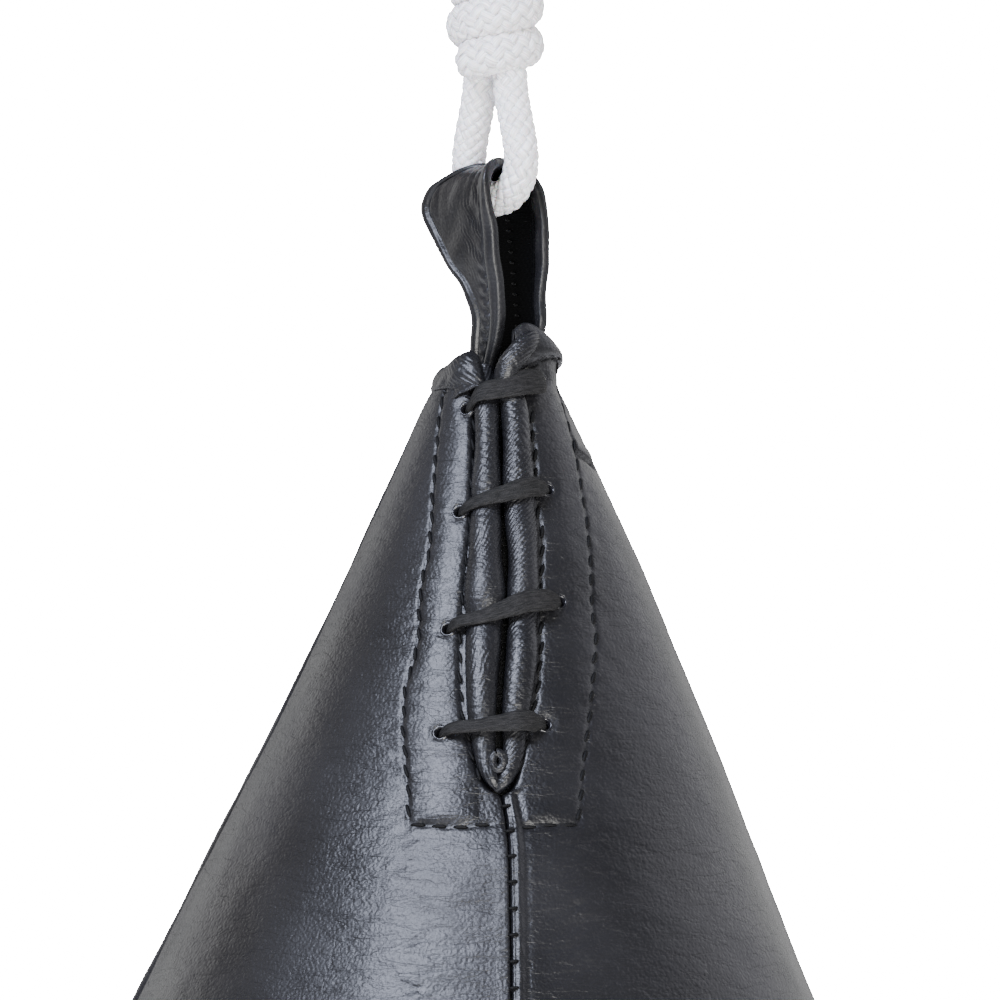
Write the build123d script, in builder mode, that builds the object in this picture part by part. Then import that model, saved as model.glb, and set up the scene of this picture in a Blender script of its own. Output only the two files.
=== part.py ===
"""Pear-shaped leather striking bag, hung by a braided rope from a swivel ceiling hook.

Frame: millimetres, +Z up.  The origin is the centre of the ceiling plate's upper face,
and the laced opening of the bag faces -Y.
"""

import os
from math import cos, pi, radians, sin, sqrt, tan

from build123d import *

os.makedirs("parts", exist_ok=True)

# ---------------------------------------------------------------- driving dimensions

# ceiling plate and its swivel
plate_radius = 32.0
plate_thickness = 5.0
plate_edge_chamfer = 1.2
screw_circle_radius = 23.0
screw_count = 4
screw_hole_radius = 2.5
screw_head_radius = 4.8
boss_radius = 11.0
boss_length = 8.0
stud_radius = 4.0
stud_clearance = 0.08
stud_head_radius = 7.0
stud_head_height = 2.6
stud_head_depth = 0.6
washer_radius = 7.6
washer_thickness = 1.0
seat_gap = 0.1
eye_radius = 8.2
eye_rod_radius = 2.8
eye_neck_length = 2.0

# snap hook
hook_rod_radius = 3.0
hook_bow_radius = 11.0
hook_straight_length = 24.0
link_gap = 0.3
gate_pin_radius = 1.0
gate_pin_clearance = 0.06
gate_length = 19.0
gate_slot_width = 2.9
latch_thickness = 2.3
latch_length = 4.0
latch_half_width = 1.8
gate_end_gap = 0.35
gate_pin_half_length = 2.65
hinge_tongue_radius = 2.7
spring_gap = 0.3
spring_length = 7.0
spring_strip = 0.5

# rope
rope_radius = 4.0
knot_turn_radius = 7.3
knot_turn_thickness = 4.2
knot_turn_pitch = 8.8
knot_turns = 3
knot_core_radius = 10.4
rope_line_length = 21.0
upper_leg_length = 16.0
lower_leg_length = 27.8

# leather body
neck_radius = 14.0
neck_height = 8.0
cone_half_angle = 24.44
belly_radius = 108.0
leather = 2.5
facing_thickness = 2.0
layer_gap = 0.1

# laced opening
opening_length = 97.0
roll_radius = 3.0
roll_spacing = 3.3
roll_rise = 0.6
roll_top_rise = 1.5
roll_side_gap = 0.1
roll_foot_radius = 3.2
roll_neck_bend = 12.0
facing_below_opening = 10.0
facing_top_drop = 9.0
facing_top_width = 12.5
facing_bottom_width = 21.5
tongue_half_width = 11.0
tongue_top_drop = 36.0
tongue_below_opening = 7.0
tongue_inset = 9.8
tongue_thickness = 1.2
collar_radius = 2.2
collar_gap_angle = 38.0

# lace: distance from the front seam and drop below the rim for each punched hole
lace_radius = 1.0
lace_bend_room = 0.9
lace_roll_clearance = 1.7
lace_start = (-3.0, 23.0)
lace_hole_radius = 1.5
punch_height = 1.5
punch_overrun = 4.0
holes = {
    -1: [(9.8, 14.0), (9.5, 36.5), (12.6, 62.5), (14.6, 86.0)],
    1: [(11.0, 9.5), (10.4, 31.0), (12.2, 56.5), (9.2, 83.5)],
}
lace_knot_radius = 2.4

# strap loop
strap_turn = 32.0
strap_axis_height = 34.0
strap_inner_radius = 5.0
webbing_thickness = 0.9
strap_leather = 1.4
strap_crown_half_width = 3.6
strap_crown_drop = 1.0
strap_full_half_width = 15.0
strap_shoulder_top = -5.0
strap_shoulder_bottom = -9.0
strap_neck_half_width = 4.4
strap_bend_drop = 7.0
strap_tab_drop = 31.0
strap_trim = 1.0

# filling
liner_gap = 0.3
liner_thickness = 0.8
liner_top_drop = 52.0
pocket_half_width = 23.5
pocket_inset = 11.4
pocket_below_facing = 4.0
gather_radius = 6.0
gather_drop = 40.0
gather_flare = 2.0
mouth_setback = 1.0
tie_lift = 1.0
tie_radius = 1.2
fill_gap = 0.2

# ---------------------------------------------------------------- derived places

washer_seat_depth = stud_head_depth + stud_head_height
eye_centre = -(plate_thickness + boss_length + eye_neck_length + eye_radius)
eye_rod_bottom = eye_centre - eye_radius
link_reach = eye_rod_radius + hook_rod_radius + link_gap
hook_top = eye_rod_bottom + link_reach
hook_bottom = hook_top - 2 * hook_bow_radius - hook_straight_length
rope_reach = hook_rod_radius + rope_radius + link_gap
knot_height = knot_turns * knot_turn_pitch
upper_knot_top = hook_bottom - upper_leg_length
upper_knot_bottom = upper_knot_top - knot_height
lower_knot_top = upper_knot_bottom - rope_line_length
lower_knot_bottom = lower_knot_top - knot_height
strap_axis = lower_knot_bottom - lower_leg_length
rim = strap_axis - strap_axis_height

facing_length = opening_length + facing_below_opening
pocket_drop = facing_length + pocket_below_facing
tongue_length = opening_length + tongue_below_opening - tongue_top_drop

cone_slope = tan(radians(cone_half_angle))
cone_cos = cos(radians(cone_half_angle))
cone_sin = sin(radians(cone_half_angle))
tangent_drop = neck_height + (belly_radius * cone_cos - neck_radius) / cone_slope
belly_drop = tangent_drop + belly_radius * cone_sin


def bag_radius(drop):
    """Outer radius of the leather at a drop below the rim, down to the belly."""
    if drop < neck_height:
        return neck_radius
    if drop < tangent_drop:
        return neck_radius + (drop - neck_height) * cone_slope
    return sqrt(belly_radius**2 - (drop - belly_drop) ** 2)


def half_plane(angle):
    """Upright plane through the axis; its X points out at the given compass angle."""
    turn = radians(angle)
    return Plane(origin=(0, 0, 0), x_dir=(cos(turn), sin(turn), 0), z_dir=(sin(turn), -cos(turn), 0))


def pear_section(inset, top_drop=0.0):
    """Half section of the pear, drawn a given inset inside the leather's outer face."""
    wall = neck_radius - inset
    bend_drop = neck_height + inset * (1 / cone_cos - 1) / cone_slope
    belly = belly_radius - inset
    belly_height = rim - belly_drop
    tangent = (belly * cone_cos, belly_height + belly * cone_sin)
    side = (belly * sqrt(0.5), belly_height - belly * sqrt(0.5))
    if top_drop < bend_drop:
        top_points = [(0, rim - top_drop), (wall, rim - top_drop), (wall, rim - bend_drop), tangent]
    else:
        top_radius = wall + (top_drop - bend_drop) * cone_slope
        top_points = [(0, rim - top_drop), (top_radius, rim - top_drop), tangent]
    with BuildSketch() as section:
        with BuildLine():
            Polyline(*top_points)
            ThreePointArc(tangent, side, (0, belly_height - belly))
            Line((0, belly_height - belly), top_points[0])
        make_face()
    return section.sketch


def on_bag(distance, drop, lift):
    """Point at an arc distance right of the front seam, raised off the leather by lift."""
    turn = distance / bag_radius(drop)
    reach = bag_radius(drop) + lift * cone_cos
    return Vector(reach * sin(turn), -reach * cos(turn), rim - drop + lift * cone_sin)


def rope_radii(points):
    """Largest tangent arc at each corner: 0.45 of the shorter run over tan(half turn)."""
    radii = []
    for before, corner, after in zip(points, points[1:], points[2:]):
        first = Vector(*corner) - Vector(*before)
        second = Vector(*after) - Vector(*corner)
        half_turn = radians(first.get_angle(second)) / 2
        radii.append(0.45 * min(first.length, second.length) / tan(half_turn))
    return radii


def finish(part, name):
    """Label one finished piece and write it."""
    part.label = name
    export_step(part, f"parts/{name}.step")


# the sloping plane that touches the leather along the front seam; local Y runs up
seam_plane = Plane(
    origin=(0, -neck_radius, rim - neck_height), x_dir=(1, 0, 0), z_dir=(0, -cone_cos, cone_sin)
)


def slope_height(drop):
    """Local Y on the seam plane of a drop below the rim."""
    return (neck_height - drop) / cone_cos


# ---------------------------------------------------------------- ceiling plate and swivel

with BuildPart() as ceiling_plate:
    with BuildSketch(Plane.XY):
        Circle(plate_radius)
    extrude(amount=-plate_thickness)
    chamfer(ceiling_plate.edges().group_by(Axis.Z)[0], plate_edge_chamfer)
    with BuildSketch(Plane.XY.offset(-plate_thickness)):
        Circle(boss_radius)
    extrude(amount=-boss_length)
    with BuildSketch(Plane.XY):
        Circle(washer_radius + seat_gap)
    extrude(amount=-(washer_seat_depth + washer_thickness + seat_gap), mode=Mode.SUBTRACT)
    with BuildSketch(Plane.XY):
        Circle(stud_radius + stud_clearance)
    extrude(amount=-(plate_thickness + boss_length), mode=Mode.SUBTRACT)
    with Locations(Plane(origin=(0, 0, -plate_thickness), z_dir=(0, 0, -1))):
        with PolarLocations(screw_circle_radius, screw_count, start_angle=45):
            CounterSinkHole(screw_hole_radius, screw_head_radius)
finish(ceiling_plate.part, "ceiling_plate")

with BuildPart() as swivel_washer:
    with BuildSketch(Plane.XY.offset(-(washer_seat_depth + seat_gap / 2))):
        Circle(washer_radius)
        Circle(stud_radius + stud_clearance, mode=Mode.SUBTRACT)
    extrude(amount=-washer_thickness)
finish(swivel_washer.part, "swivel_washer")

with BuildPart() as swivel_eye:
    with BuildSketch(Plane.XY.offset(-stud_head_depth)):
        Circle(stud_head_radius)
    extrude(amount=-stud_head_height)
    with BuildSketch(Plane.XY.offset(-stud_head_depth)):
        Circle(stud_radius)
    extrude(amount=eye_centre + eye_radius + stud_head_depth)
    with BuildSketch(Plane.XZ):
        with Locations((0, eye_rod_bottom)):
            Circle(eye_rod_radius)
    revolve(axis=Axis((0, 0, eye_centre), (1, 0, 0)))
finish(swivel_eye.part, "swivel_eye")

# ---------------------------------------------------------------- snap hook

upper_bow = hook_top - hook_bow_radius
lower_bow = hook_bottom + hook_bow_radius
gate_pivot = lower_bow + (hook_straight_length - gate_length) / 2
gate_top = gate_pivot + gate_length
gate_end_reach = hook_rod_radius + gate_end_gap
spring_start = hinge_tongue_radius + spring_gap
gate_slot_end = spring_start + spring_length + spring_gap

with BuildPart() as snap_hook:
    with BuildLine(Plane.XZ) as hook_route:
        Line((hook_bow_radius, gate_top + gate_end_gap), (hook_bow_radius, upper_bow))
        ThreePointArc((hook_bow_radius, upper_bow), (0, hook_top), (-hook_bow_radius, upper_bow))
        Line((-hook_bow_radius, upper_bow), (-hook_bow_radius, lower_bow))
        ThreePointArc((-hook_bow_radius, lower_bow), (0, hook_bottom), (hook_bow_radius, lower_bow))
        Line((hook_bow_radius, lower_bow), (hook_bow_radius, gate_pivot - gate_end_reach))
    with BuildSketch(Plane(origin=(hook_bow_radius, 0, gate_top + gate_end_gap), z_dir=(0, 0, 1))):
        Circle(hook_rod_radius)
    sweep(path=hook_route.wire())
    with BuildSketch(Plane.XZ):
        with Locations((hook_bow_radius, gate_pivot - gate_end_reach / 2)):
            Rectangle(2 * latch_half_width, gate_end_reach + 2 * gate_end_gap)
        with Locations((hook_bow_radius, gate_pivot)):
            Circle(hinge_tongue_radius)
        with Locations((hook_bow_radius, gate_top - latch_length / 2 + gate_end_gap)):
            Rectangle(2 * latch_half_width, latch_length + gate_end_gap)
    extrude(amount=latch_thickness / 2, both=True)
    with BuildSketch(Plane.XZ):
        with Locations((hook_bow_radius, gate_pivot)):
            Circle(gate_pin_radius + gate_pin_clearance)
    extrude(amount=hook_rod_radius, both=True, mode=Mode.SUBTRACT)
finish(snap_hook.part, "snap_hook")

with BuildPart() as hook_gate:
    with BuildSketch(Plane.XY.offset(gate_pivot)):
        with Locations((hook_bow_radius, 0)):
            Circle(hook_rod_radius)
    extrude(amount=gate_length)
    with Locations((hook_bow_radius, 0, gate_pivot)):
        Sphere(hook_rod_radius)
    with BuildSketch(Plane.XZ):
        with Locations((hook_bow_radius, gate_pivot + (gate_slot_end - gate_end_reach) / 2)):
            Rectangle(2 * gate_end_reach, gate_slot_end + gate_end_reach)
        with Locations((hook_bow_radius, gate_top - latch_length / 2)):
            Rectangle(2 * gate_end_reach, latch_length + 2 * gate_end_gap)
    extrude(amount=gate_slot_width / 2, both=True, mode=Mode.SUBTRACT)
    with BuildSketch(Plane.XZ):
        with Locations((hook_bow_radius, gate_pivot)):
            Circle(gate_pin_radius)
    extrude(amount=gate_end_reach, both=True, mode=Mode.SUBTRACT)
finish(hook_gate.part, "hook_gate")

with BuildPart() as gate_pin:
    with BuildSketch(Plane.XZ):
        with Locations((hook_bow_radius, gate_pivot)):
            Circle(gate_pin_radius)
    extrude(amount=gate_pin_half_length, both=True)
finish(gate_pin.part, "gate_pin")

with BuildPart() as gate_spring:
    with BuildSketch(Plane.XZ):
        with Locations((hook_bow_radius, gate_pivot + spring_start + spring_length / 2)):
            Rectangle(spring_strip, spring_length)
    extrude(amount=gate_slot_width / 2, both=True)
finish(gate_spring.part, "gate_spring")

# ---------------------------------------------------------------- rope

# the upper loop lies across the hook's rod; each point is (distance from the axis, height)
half_corner = tan(radians(22.5))
upper_side = [
    (4.4, upper_knot_top),
    (4.4, upper_knot_top + 4.0),
    (rope_reach, hook_bottom - 5.0),
    (rope_reach, hook_bottom + rope_reach * half_corner),
    (rope_reach * half_corner, hook_bottom + rope_reach),
]
upper_loop_route = [Vector(0, reach, height) for reach, height in upper_side]
upper_loop_route += [Vector(0, -reach, height) for reach, height in reversed(upper_side)]

# the lower loop threads the strap; distances run along the strap's own width
lower_side = [
    (6.0, lower_knot_bottom),
    (6.0, lower_knot_bottom - 4.3),
    (11.0, strap_axis + 9.1),
    (8.9, strap_axis + 3.4),
    (4.0, strap_axis),
]
strap_along = Vector(sin(radians(strap_turn)), -cos(radians(strap_turn)), 0)
strap_across = Vector(cos(radians(strap_turn)), sin(radians(strap_turn)), 0)
lower_loop_route = [strap_along * reach + Vector(0, 0, height) for reach, height in lower_side]
lower_loop_route += [
    strap_along * -reach + Vector(0, 0, height) for reach, height in reversed(lower_side)
]


def rope_tube(route, name):
    """Rope of straight runs joined by tangent arcs along the given points."""
    radii = rope_radii(route)
    print(name, "bend radii", [round(radius, 1) for radius in radii])
    with BuildPart() as tube:
        with BuildLine() as line:
            FilletPolyline(*route, radius=radii)
        with BuildSketch(Plane(origin=route[0], z_dir=route[1] - route[0])):
            Circle(rope_radius)
        sweep(path=line.wire())
    full_volume = pi * rope_radius**2 * line.wire().length
    print(name, "volume over section times length", round(tube.part.volume / full_volume, 3))
    finish(tube.part, name)


def rope_knot(bottom, name):
    """Outer shape of a knot: level turns drawn tight round the rope."""
    with BuildPart() as knot:
        with BuildSketch(Plane.XZ):
            with Locations((knot_core_radius / 2, bottom + knot_height / 2)):
                Rectangle(knot_core_radius, knot_height)
            for turn in range(knot_turns):
                with Locations((knot_turn_radius, bottom + (turn + 0.5) * knot_turn_pitch)):
                    Circle(knot_turn_thickness)
        revolve(axis=Axis.Z)
    finish(knot.part, name)


rope_tube(upper_loop_route, "rope_upper_loop")
rope_knot(upper_knot_bottom, "rope_upper_knot")
rope_knot(lower_knot_bottom, "rope_lower_knot")
rope_tube(lower_loop_route, "rope_lower_loop")

with BuildPart() as rope_line:
    with BuildSketch(Plane.XY.offset(lower_knot_top)):
        Circle(rope_radius)
    extrude(amount=rope_line_length)
finish(rope_line.part, "rope_line")

# ---------------------------------------------------------------- leather panels


def slot_outline(half_width, length):
    """U-shaped outline of the laced opening on the seam plane, open past the rim."""
    foot = slope_height(length) + half_width
    top = slope_height(0) + neck_height
    with BuildSketch() as outline:
        with BuildLine():
            Line((half_width, top), (half_width, foot))
            ThreePointArc((half_width, foot), (0, foot - half_width), (-half_width, foot))
            Line((-half_width, foot), (-half_width, top))
            Line((-half_width, top), (half_width, top))
        make_face()
    return outline.sketch


def hole_punches(side, depth):
    """Pins that cut the lace holes, square to the leather, at one side of the front seam."""
    with BuildPart() as punches:
        for distance, drop in holes[side]:
            surface = on_bag(side * distance, drop, 0)
            above = on_bag(side * distance, drop, punch_height)
            with BuildSketch(Plane(origin=above, z_dir=above - surface)):
                Circle(lace_hole_radius)
            extrude(amount=-depth)
    return punches.part


slot_half_width = roll_spacing + roll_radius + roll_side_gap

for start, panel_name in ((180, "panel_front_left"), (270, "panel_front_right")):
    side = -1 if start == 180 else 1
    with BuildPart() as panel:
        with BuildSketch(half_plane(start)):
            add(pear_section(0))
            add(pear_section(leather), mode=Mode.SUBTRACT)
        revolve(axis=Axis.Z, revolution_arc=90)
        with BuildSketch(seam_plane):
            add(slot_outline(slot_half_width, opening_length))
        extrude(amount=neck_radius, both=True, mode=Mode.SUBTRACT)
        add(hole_punches(side, leather + punch_overrun), mode=Mode.SUBTRACT)
    finish(panel.part, panel_name)

for start, panel_name in ((0, "panel_back_right"), (90, "panel_back_left")):
    with BuildPart() as panel:
        with BuildSketch(half_plane(start)):
            add(pear_section(0))
            add(pear_section(leather), mode=Mode.SUBTRACT)
        revolve(axis=Axis.Z, revolution_arc=90)
    finish(panel.part, panel_name)

# ---------------------------------------------------------------- facings behind the holes

facing_inset = leather + layer_gap

for side, name in ((-1, "facing_left"), (1, "facing_right")):
    with BuildPart() as facing:
        with BuildSketch(half_plane(180 if side < 0 else 270)):
            add(pear_section(facing_inset))
            add(pear_section(facing_inset + facing_thickness), mode=Mode.SUBTRACT)
        revolve(axis=Axis.Z, revolution_arc=90)
        with BuildSketch(seam_plane):
            with BuildLine():
                Polyline(
                    (side * layer_gap, slope_height(facing_top_drop)),
                    (side * facing_top_width, slope_height(facing_top_drop)),
                    (side * facing_bottom_width, slope_height(facing_length)),
                    (side * layer_gap, slope_height(facing_length)),
                    close=True,
                )
            make_face()
        extrude(amount=neck_radius, both=True, mode=Mode.INTERSECT)
        with BuildSketch(seam_plane):
            add(slot_outline(slot_half_width, opening_length))
        extrude(amount=neck_radius, both=True, mode=Mode.SUBTRACT)
        facing_back = facing_inset + facing_thickness
        add(hole_punches(side, facing_back + punch_overrun), mode=Mode.SUBTRACT)
    finish(facing.part, name)

# ---------------------------------------------------------------- rolled edges of the opening

roll_foot_height = slope_height(opening_length) + roll_radius + roll_side_gap

for side, name in ((-1, "opening_roll_left"), (1, "opening_roll_right")):
    roll_top = Vector(side * roll_spacing, -neck_radius - roll_rise, rim + roll_top_rise)
    roll_bend = Vector(side * roll_spacing, -neck_radius - roll_rise, rim - neck_height)
    roll_foot = seam_plane.from_local_coords((side * roll_spacing, roll_foot_height, roll_rise))
    roll_end = seam_plane.from_local_coords((0, roll_foot_height, roll_rise))
    with BuildPart() as roll:
        with BuildLine() as line:
            FilletPolyline(
                roll_top, roll_bend, roll_foot, roll_end, radius=[roll_neck_bend, roll_foot_radius]
            )
        with BuildSketch(Plane(origin=roll_top, z_dir=(0, 0, -1))):
            Circle(roll_radius)
        sweep(path=line.wire())
    finish(roll.part, name)

with BuildPart() as tongue:
    with BuildSketch(half_plane(225)):
        add(pear_section(tongue_inset))
        add(pear_section(tongue_inset + tongue_thickness), mode=Mode.SUBTRACT)
    revolve(axis=Axis.Z, revolution_arc=90)
    with BuildSketch(seam_plane):
        with Locations((0, slope_height(tongue_top_drop + tongue_length / 2))):
            Rectangle(2 * tongue_half_width, tongue_length / cone_cos)
    extrude(amount=-2 * neck_radius, mode=Mode.INTERSECT)
finish(tongue.part, "tongue")

for start, name in ((90, "collar_left"), (270 + collar_gap_angle, "collar_right")):
    with BuildPart() as collar:
        with BuildSketch(half_plane(start)):
            with Locations((neck_radius - leather / 2, rim + collar_radius + seat_gap / 2)):
                Circle(collar_radius)
        revolve(axis=Axis.Z, revolution_arc=180 - collar_gap_angle)
    finish(collar.part, name)

# ---------------------------------------------------------------- lace

lace_inside = -(facing_inset + facing_thickness + lace_radius + lace_bend_room)
lace_outside = lace_radius + lace_bend_room
lace_over_roll = roll_rise + roll_radius + lace_radius + lace_roll_clearance
lace_route = [on_bag(*lace_start, lace_inside)]
for (left_distance, left_drop), (right_distance, right_drop) in zip(holes[-1], holes[1]):
    climb = (left_drop - right_drop) / 3
    lace_route += [
        on_bag(-left_distance, left_drop, lace_inside),
        on_bag(-left_distance, left_drop, lace_outside),
        seam_plane.from_local_coords((-roll_spacing, slope_height(left_drop - climb), lace_over_roll)),
        seam_plane.from_local_coords((roll_spacing, slope_height(right_drop + climb), lace_over_roll)),
        on_bag(right_distance, right_drop, lace_outside),
        on_bag(right_distance, right_drop, lace_inside),
    ]

with BuildPart() as lace:
    lace_bends = rope_radii(lace_route)
    print("lace bend radii", [round(radius, 1) for radius in lace_bends])
    with BuildLine() as lace_line:
        FilletPolyline(*lace_route, radius=lace_bends)
    with BuildSketch(Plane(origin=lace_route[0], z_dir=lace_route[1] - lace_route[0])):
        Circle(lace_radius)
    sweep(path=lace_line.wire())
    with Locations(lace_route[0], lace_route[-1]):
        Sphere(lace_knot_radius)
finish(lace.part, "lace")

# ---------------------------------------------------------------- strap loop

strap_outer_radius = strap_inner_radius + webbing_thickness + strap_leather
strap_band_plane = Plane(origin=(0, 0, strap_axis), x_dir=strap_across, z_dir=strap_along)
strap_side_plane = Plane(origin=(0, 0, strap_axis), x_dir=strap_along, z_dir=-strap_across)
strap_bend = rim - strap_bend_drop - strap_axis
strap_end = rim - strap_tab_drop - strap_axis


def band_side(radius):
    """Points down one leg of the strap: its shoulder, its bend in the neck and its sewn end."""
    bend = strap_bend + (radius - strap_outer_radius) * tan(radians(cone_half_angle / 2))
    return [(radius, 0), (radius, bend), (radius + (bend - strap_end) * cone_slope, strap_end)]


def strap_layer(inner, outer, name):
    """One layer of the strap: an arch over the rope whose legs splay inside the neck."""
    leg = band_side(outer) + band_side(inner)[::-1]
    half_outline = [
        (strap_crown_half_width, strap_outer_radius + strap_trim),
        (strap_crown_half_width, strap_crown_drop),
        (strap_full_half_width, strap_shoulder_top),
        (strap_full_half_width, strap_shoulder_bottom),
        (strap_neck_half_width, strap_bend),
        (strap_neck_half_width, strap_end - strap_trim),
    ]
    mirrored_outline = [(-reach, height) for reach, height in half_outline[::-1]]
    with BuildPart() as layer:
        with BuildSketch(strap_band_plane):
            with BuildLine():
                Polyline(*leg)
                ThreePointArc((inner, 0), (0, inner), (-inner, 0))
                Polyline(*[(-reach, height) for reach, height in leg])
                ThreePointArc((-outer, 0), (0, outer), (outer, 0))
            make_face()
        extrude(amount=strap_full_half_width, both=True)
        with BuildSketch(strap_side_plane):
            with BuildLine():
                Polyline(*half_outline, *mirrored_outline, close=True)
            make_face()
        extrude(amount=2 * neck_radius, both=True, mode=Mode.INTERSECT)
    finish(layer.part, name)


strap_layer(strap_inner_radius, strap_inner_radius + webbing_thickness, "strap_webbing")
strap_layer(strap_inner_radius + webbing_thickness, strap_outer_radius, "strap_leather")

# ---------------------------------------------------------------- filling


def stuffed_shape(inset, grow):
    """Solid pear below the neck, set back at the front where the lacing and tongue sit."""
    with BuildPart() as shape:
        with BuildSketch(Plane.XZ):
            add(pear_section(inset, liner_top_drop + grow))
        revolve(axis=Axis.Z)
        with BuildSketch(seam_plane):
            with Locations((0, slope_height(pocket_drop / 2))):
                Rectangle(2 * (pocket_half_width + grow), (pocket_drop + 2 * grow) / cone_cos)
        extrude(amount=2 * neck_radius, both=True, mode=Mode.SUBTRACT)
        with BuildSketch(Plane.XZ):
            add(pear_section(pocket_inset + grow, liner_top_drop + grow))
        revolve(axis=Axis.Z)
    return shape.part


liner_inset = leather + liner_gap
gather_bottom = rim - liner_top_drop
gather_top = rim - gather_drop
mouth_radius = bag_radius(liner_top_drop) - pocket_inset / cone_cos - mouth_setback
tie_height = (gather_bottom + gather_top) / 2 + tie_lift
liner_solid = stuffed_shape(liner_inset, 0)
liner_hollow = stuffed_shape(liner_inset + liner_thickness, liner_thickness)
fill_solid = stuffed_shape(liner_inset + liner_thickness + fill_gap, liner_thickness + fill_gap)

with BuildPart() as liner_bag:
    add(liner_solid)
    add(liner_hollow, mode=Mode.SUBTRACT)
    with BuildSketch(Plane.XZ):
        with BuildLine():
            Polyline(
                (0, gather_bottom),
                (mouth_radius, gather_bottom),
                (gather_radius, tie_height - tie_radius),
                (gather_radius, tie_height + tie_radius),
                (gather_radius + gather_flare, gather_top),
                (0, gather_top),
                close=True,
            )
        make_face()
    revolve(axis=Axis.Z)
finish(liner_bag.part, "liner_bag")

with BuildPart() as liner_tie:
    with BuildSketch(Plane.XZ):
        with Locations((gather_radius + tie_radius + layer_gap, tie_height)):
            Circle(tie_radius)
    revolve(axis=Axis.Z)
finish(liner_tie.part, "liner_tie")

finish(fill_solid, "maize_fill")

# ---------------------------------------------------------------- joints, for the record

print("hook pivot", eye_rod_bottom)
print("gate pivot", hook_bow_radius, gate_pivot)
print("rope pivot", hook_bottom)
print("strap pivot", strap_axis, "along", strap_along)
print("rim", rim, "lowest point", rim - belly_drop - belly_radius)
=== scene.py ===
# %% [markdown]
# # A leather striking bag on a rope
# A pear-shaped bag of black leather, stuffed with grain, hangs by a strap loop from a braided rope.
# Its front is laced shut over two rolled leather edges.  The metal pieces come from the CAD model.
# Everything soft is made here, as surfaces worked out with numpy, in the CAD model's own frame:
# +Z up, the laced opening towards -Y, and the origin on the ceiling plate's upper face.

from functools import partial

import bmesh
import bpy
import numpy as np
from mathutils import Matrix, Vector


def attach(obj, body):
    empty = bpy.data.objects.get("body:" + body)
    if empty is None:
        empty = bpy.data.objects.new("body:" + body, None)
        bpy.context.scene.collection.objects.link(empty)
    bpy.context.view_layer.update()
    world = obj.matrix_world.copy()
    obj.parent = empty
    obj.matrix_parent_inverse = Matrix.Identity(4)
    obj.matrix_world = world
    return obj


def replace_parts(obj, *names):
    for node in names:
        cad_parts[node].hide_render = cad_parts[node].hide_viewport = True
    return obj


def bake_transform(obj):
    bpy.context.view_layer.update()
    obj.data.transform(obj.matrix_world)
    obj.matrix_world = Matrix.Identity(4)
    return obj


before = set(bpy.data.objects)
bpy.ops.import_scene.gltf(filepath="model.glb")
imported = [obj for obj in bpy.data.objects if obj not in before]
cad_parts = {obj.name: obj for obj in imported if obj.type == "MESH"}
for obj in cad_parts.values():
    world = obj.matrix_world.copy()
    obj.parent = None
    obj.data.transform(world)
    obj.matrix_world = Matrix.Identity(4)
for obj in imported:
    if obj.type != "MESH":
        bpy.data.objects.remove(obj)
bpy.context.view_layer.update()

# %% [markdown]
# ## Small tools
# Lengths in this file are in millimetres, as a maker writes them, and turn to metres where a mesh
# is made.  A surface is a grid of points; this step joins the grid's rows and columns with faces.
# Blender's own modelling tools could make the same shapes, but a formula can be read and changed.

# %% Grids of points to meshes
MM = 0.001
# points closer than this, in millimetres, are one point where a seam or a pole is closed
WELD = 0.0005


def grid_faces(rows, columns, wrap_columns=False, first=0):
    """Corner numbers of the quads between neighbouring points of a rows x columns grid."""
    row = np.arange(rows - 1)[:, None]
    column = np.arange(columns if wrap_columns else columns - 1)[None, :]
    next_column = (column + 1) % columns
    corners = [row * columns + column, row * columns + next_column]
    corners += [(row + 1) * columns + next_column, (row + 1) * columns + column]
    return np.stack([c + 0 * row + 0 * column for c in corners], -1).reshape(-1, 4) + first


def put_in_scene(name, data):
    """Object of the given name for a mesh, curve, lamp or camera, linked into the scene."""
    made = bpy.data.objects.new(name, data)
    bpy.context.scene.collection.objects.link(made)
    return made


def make_piece(name, points, quads, body, finish, uv=None, merge=0.0):
    """Object from points in millimetres and quads; it rides on a body and takes a finish.

    Instead of a body, a tuple of two bodies, a start and an end leaves the piece on no body, with its place
    baked into its points."""
    points = np.asarray(points, float).reshape(-1, 3)
    mesh = bpy.data.meshes.new(name)
    mesh.vertices.add(len(points))
    mesh.vertices.foreach_set("co", (points * MM).ravel())
    mesh.loops.add(quads.size)
    mesh.loops.foreach_set("vertex_index", quads.ravel().astype(np.int32))
    mesh.polygons.add(len(quads))
    mesh.polygons.foreach_set("loop_start", np.arange(0, quads.size, 4, dtype=np.int32))
    mesh.polygons.foreach_set("use_smooth", np.ones(len(quads), bool))
    mesh.update(calc_edges=True)
    if uv is not None:
        layer = mesh.uv_layers.new(name="surface")
        corner_uv = np.asarray(uv, float).reshape(-1, 2)[quads.ravel()]
        layer.uv.foreach_set("vector", corner_uv.ravel())
    if merge:
        join_doubles(mesh, merge)
    mesh.materials.append(finish)
    piece = put_in_scene(name, mesh)
    if isinstance(body, tuple):
        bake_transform(piece)
    else:
        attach(piece, body)
    print(f"{name}: {len(mesh.vertices)} points, {len(mesh.polygons)} faces")
    return piece


def join_doubles(mesh, reach):
    """Merge points closer than reach millimetres, so that seams and poles are closed."""
    shape = bmesh.new()
    shape.from_mesh(mesh)
    bmesh.ops.remove_doubles(shape, verts=shape.verts, dist=reach * MM)
    bmesh.ops.dissolve_degenerate(shape, edges=shape.edges, dist=reach * MM * 0.5)
    bmesh.ops.recalc_face_normals(shape, faces=shape.faces)
    shape.to_mesh(mesh)
    shape.free()


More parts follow.
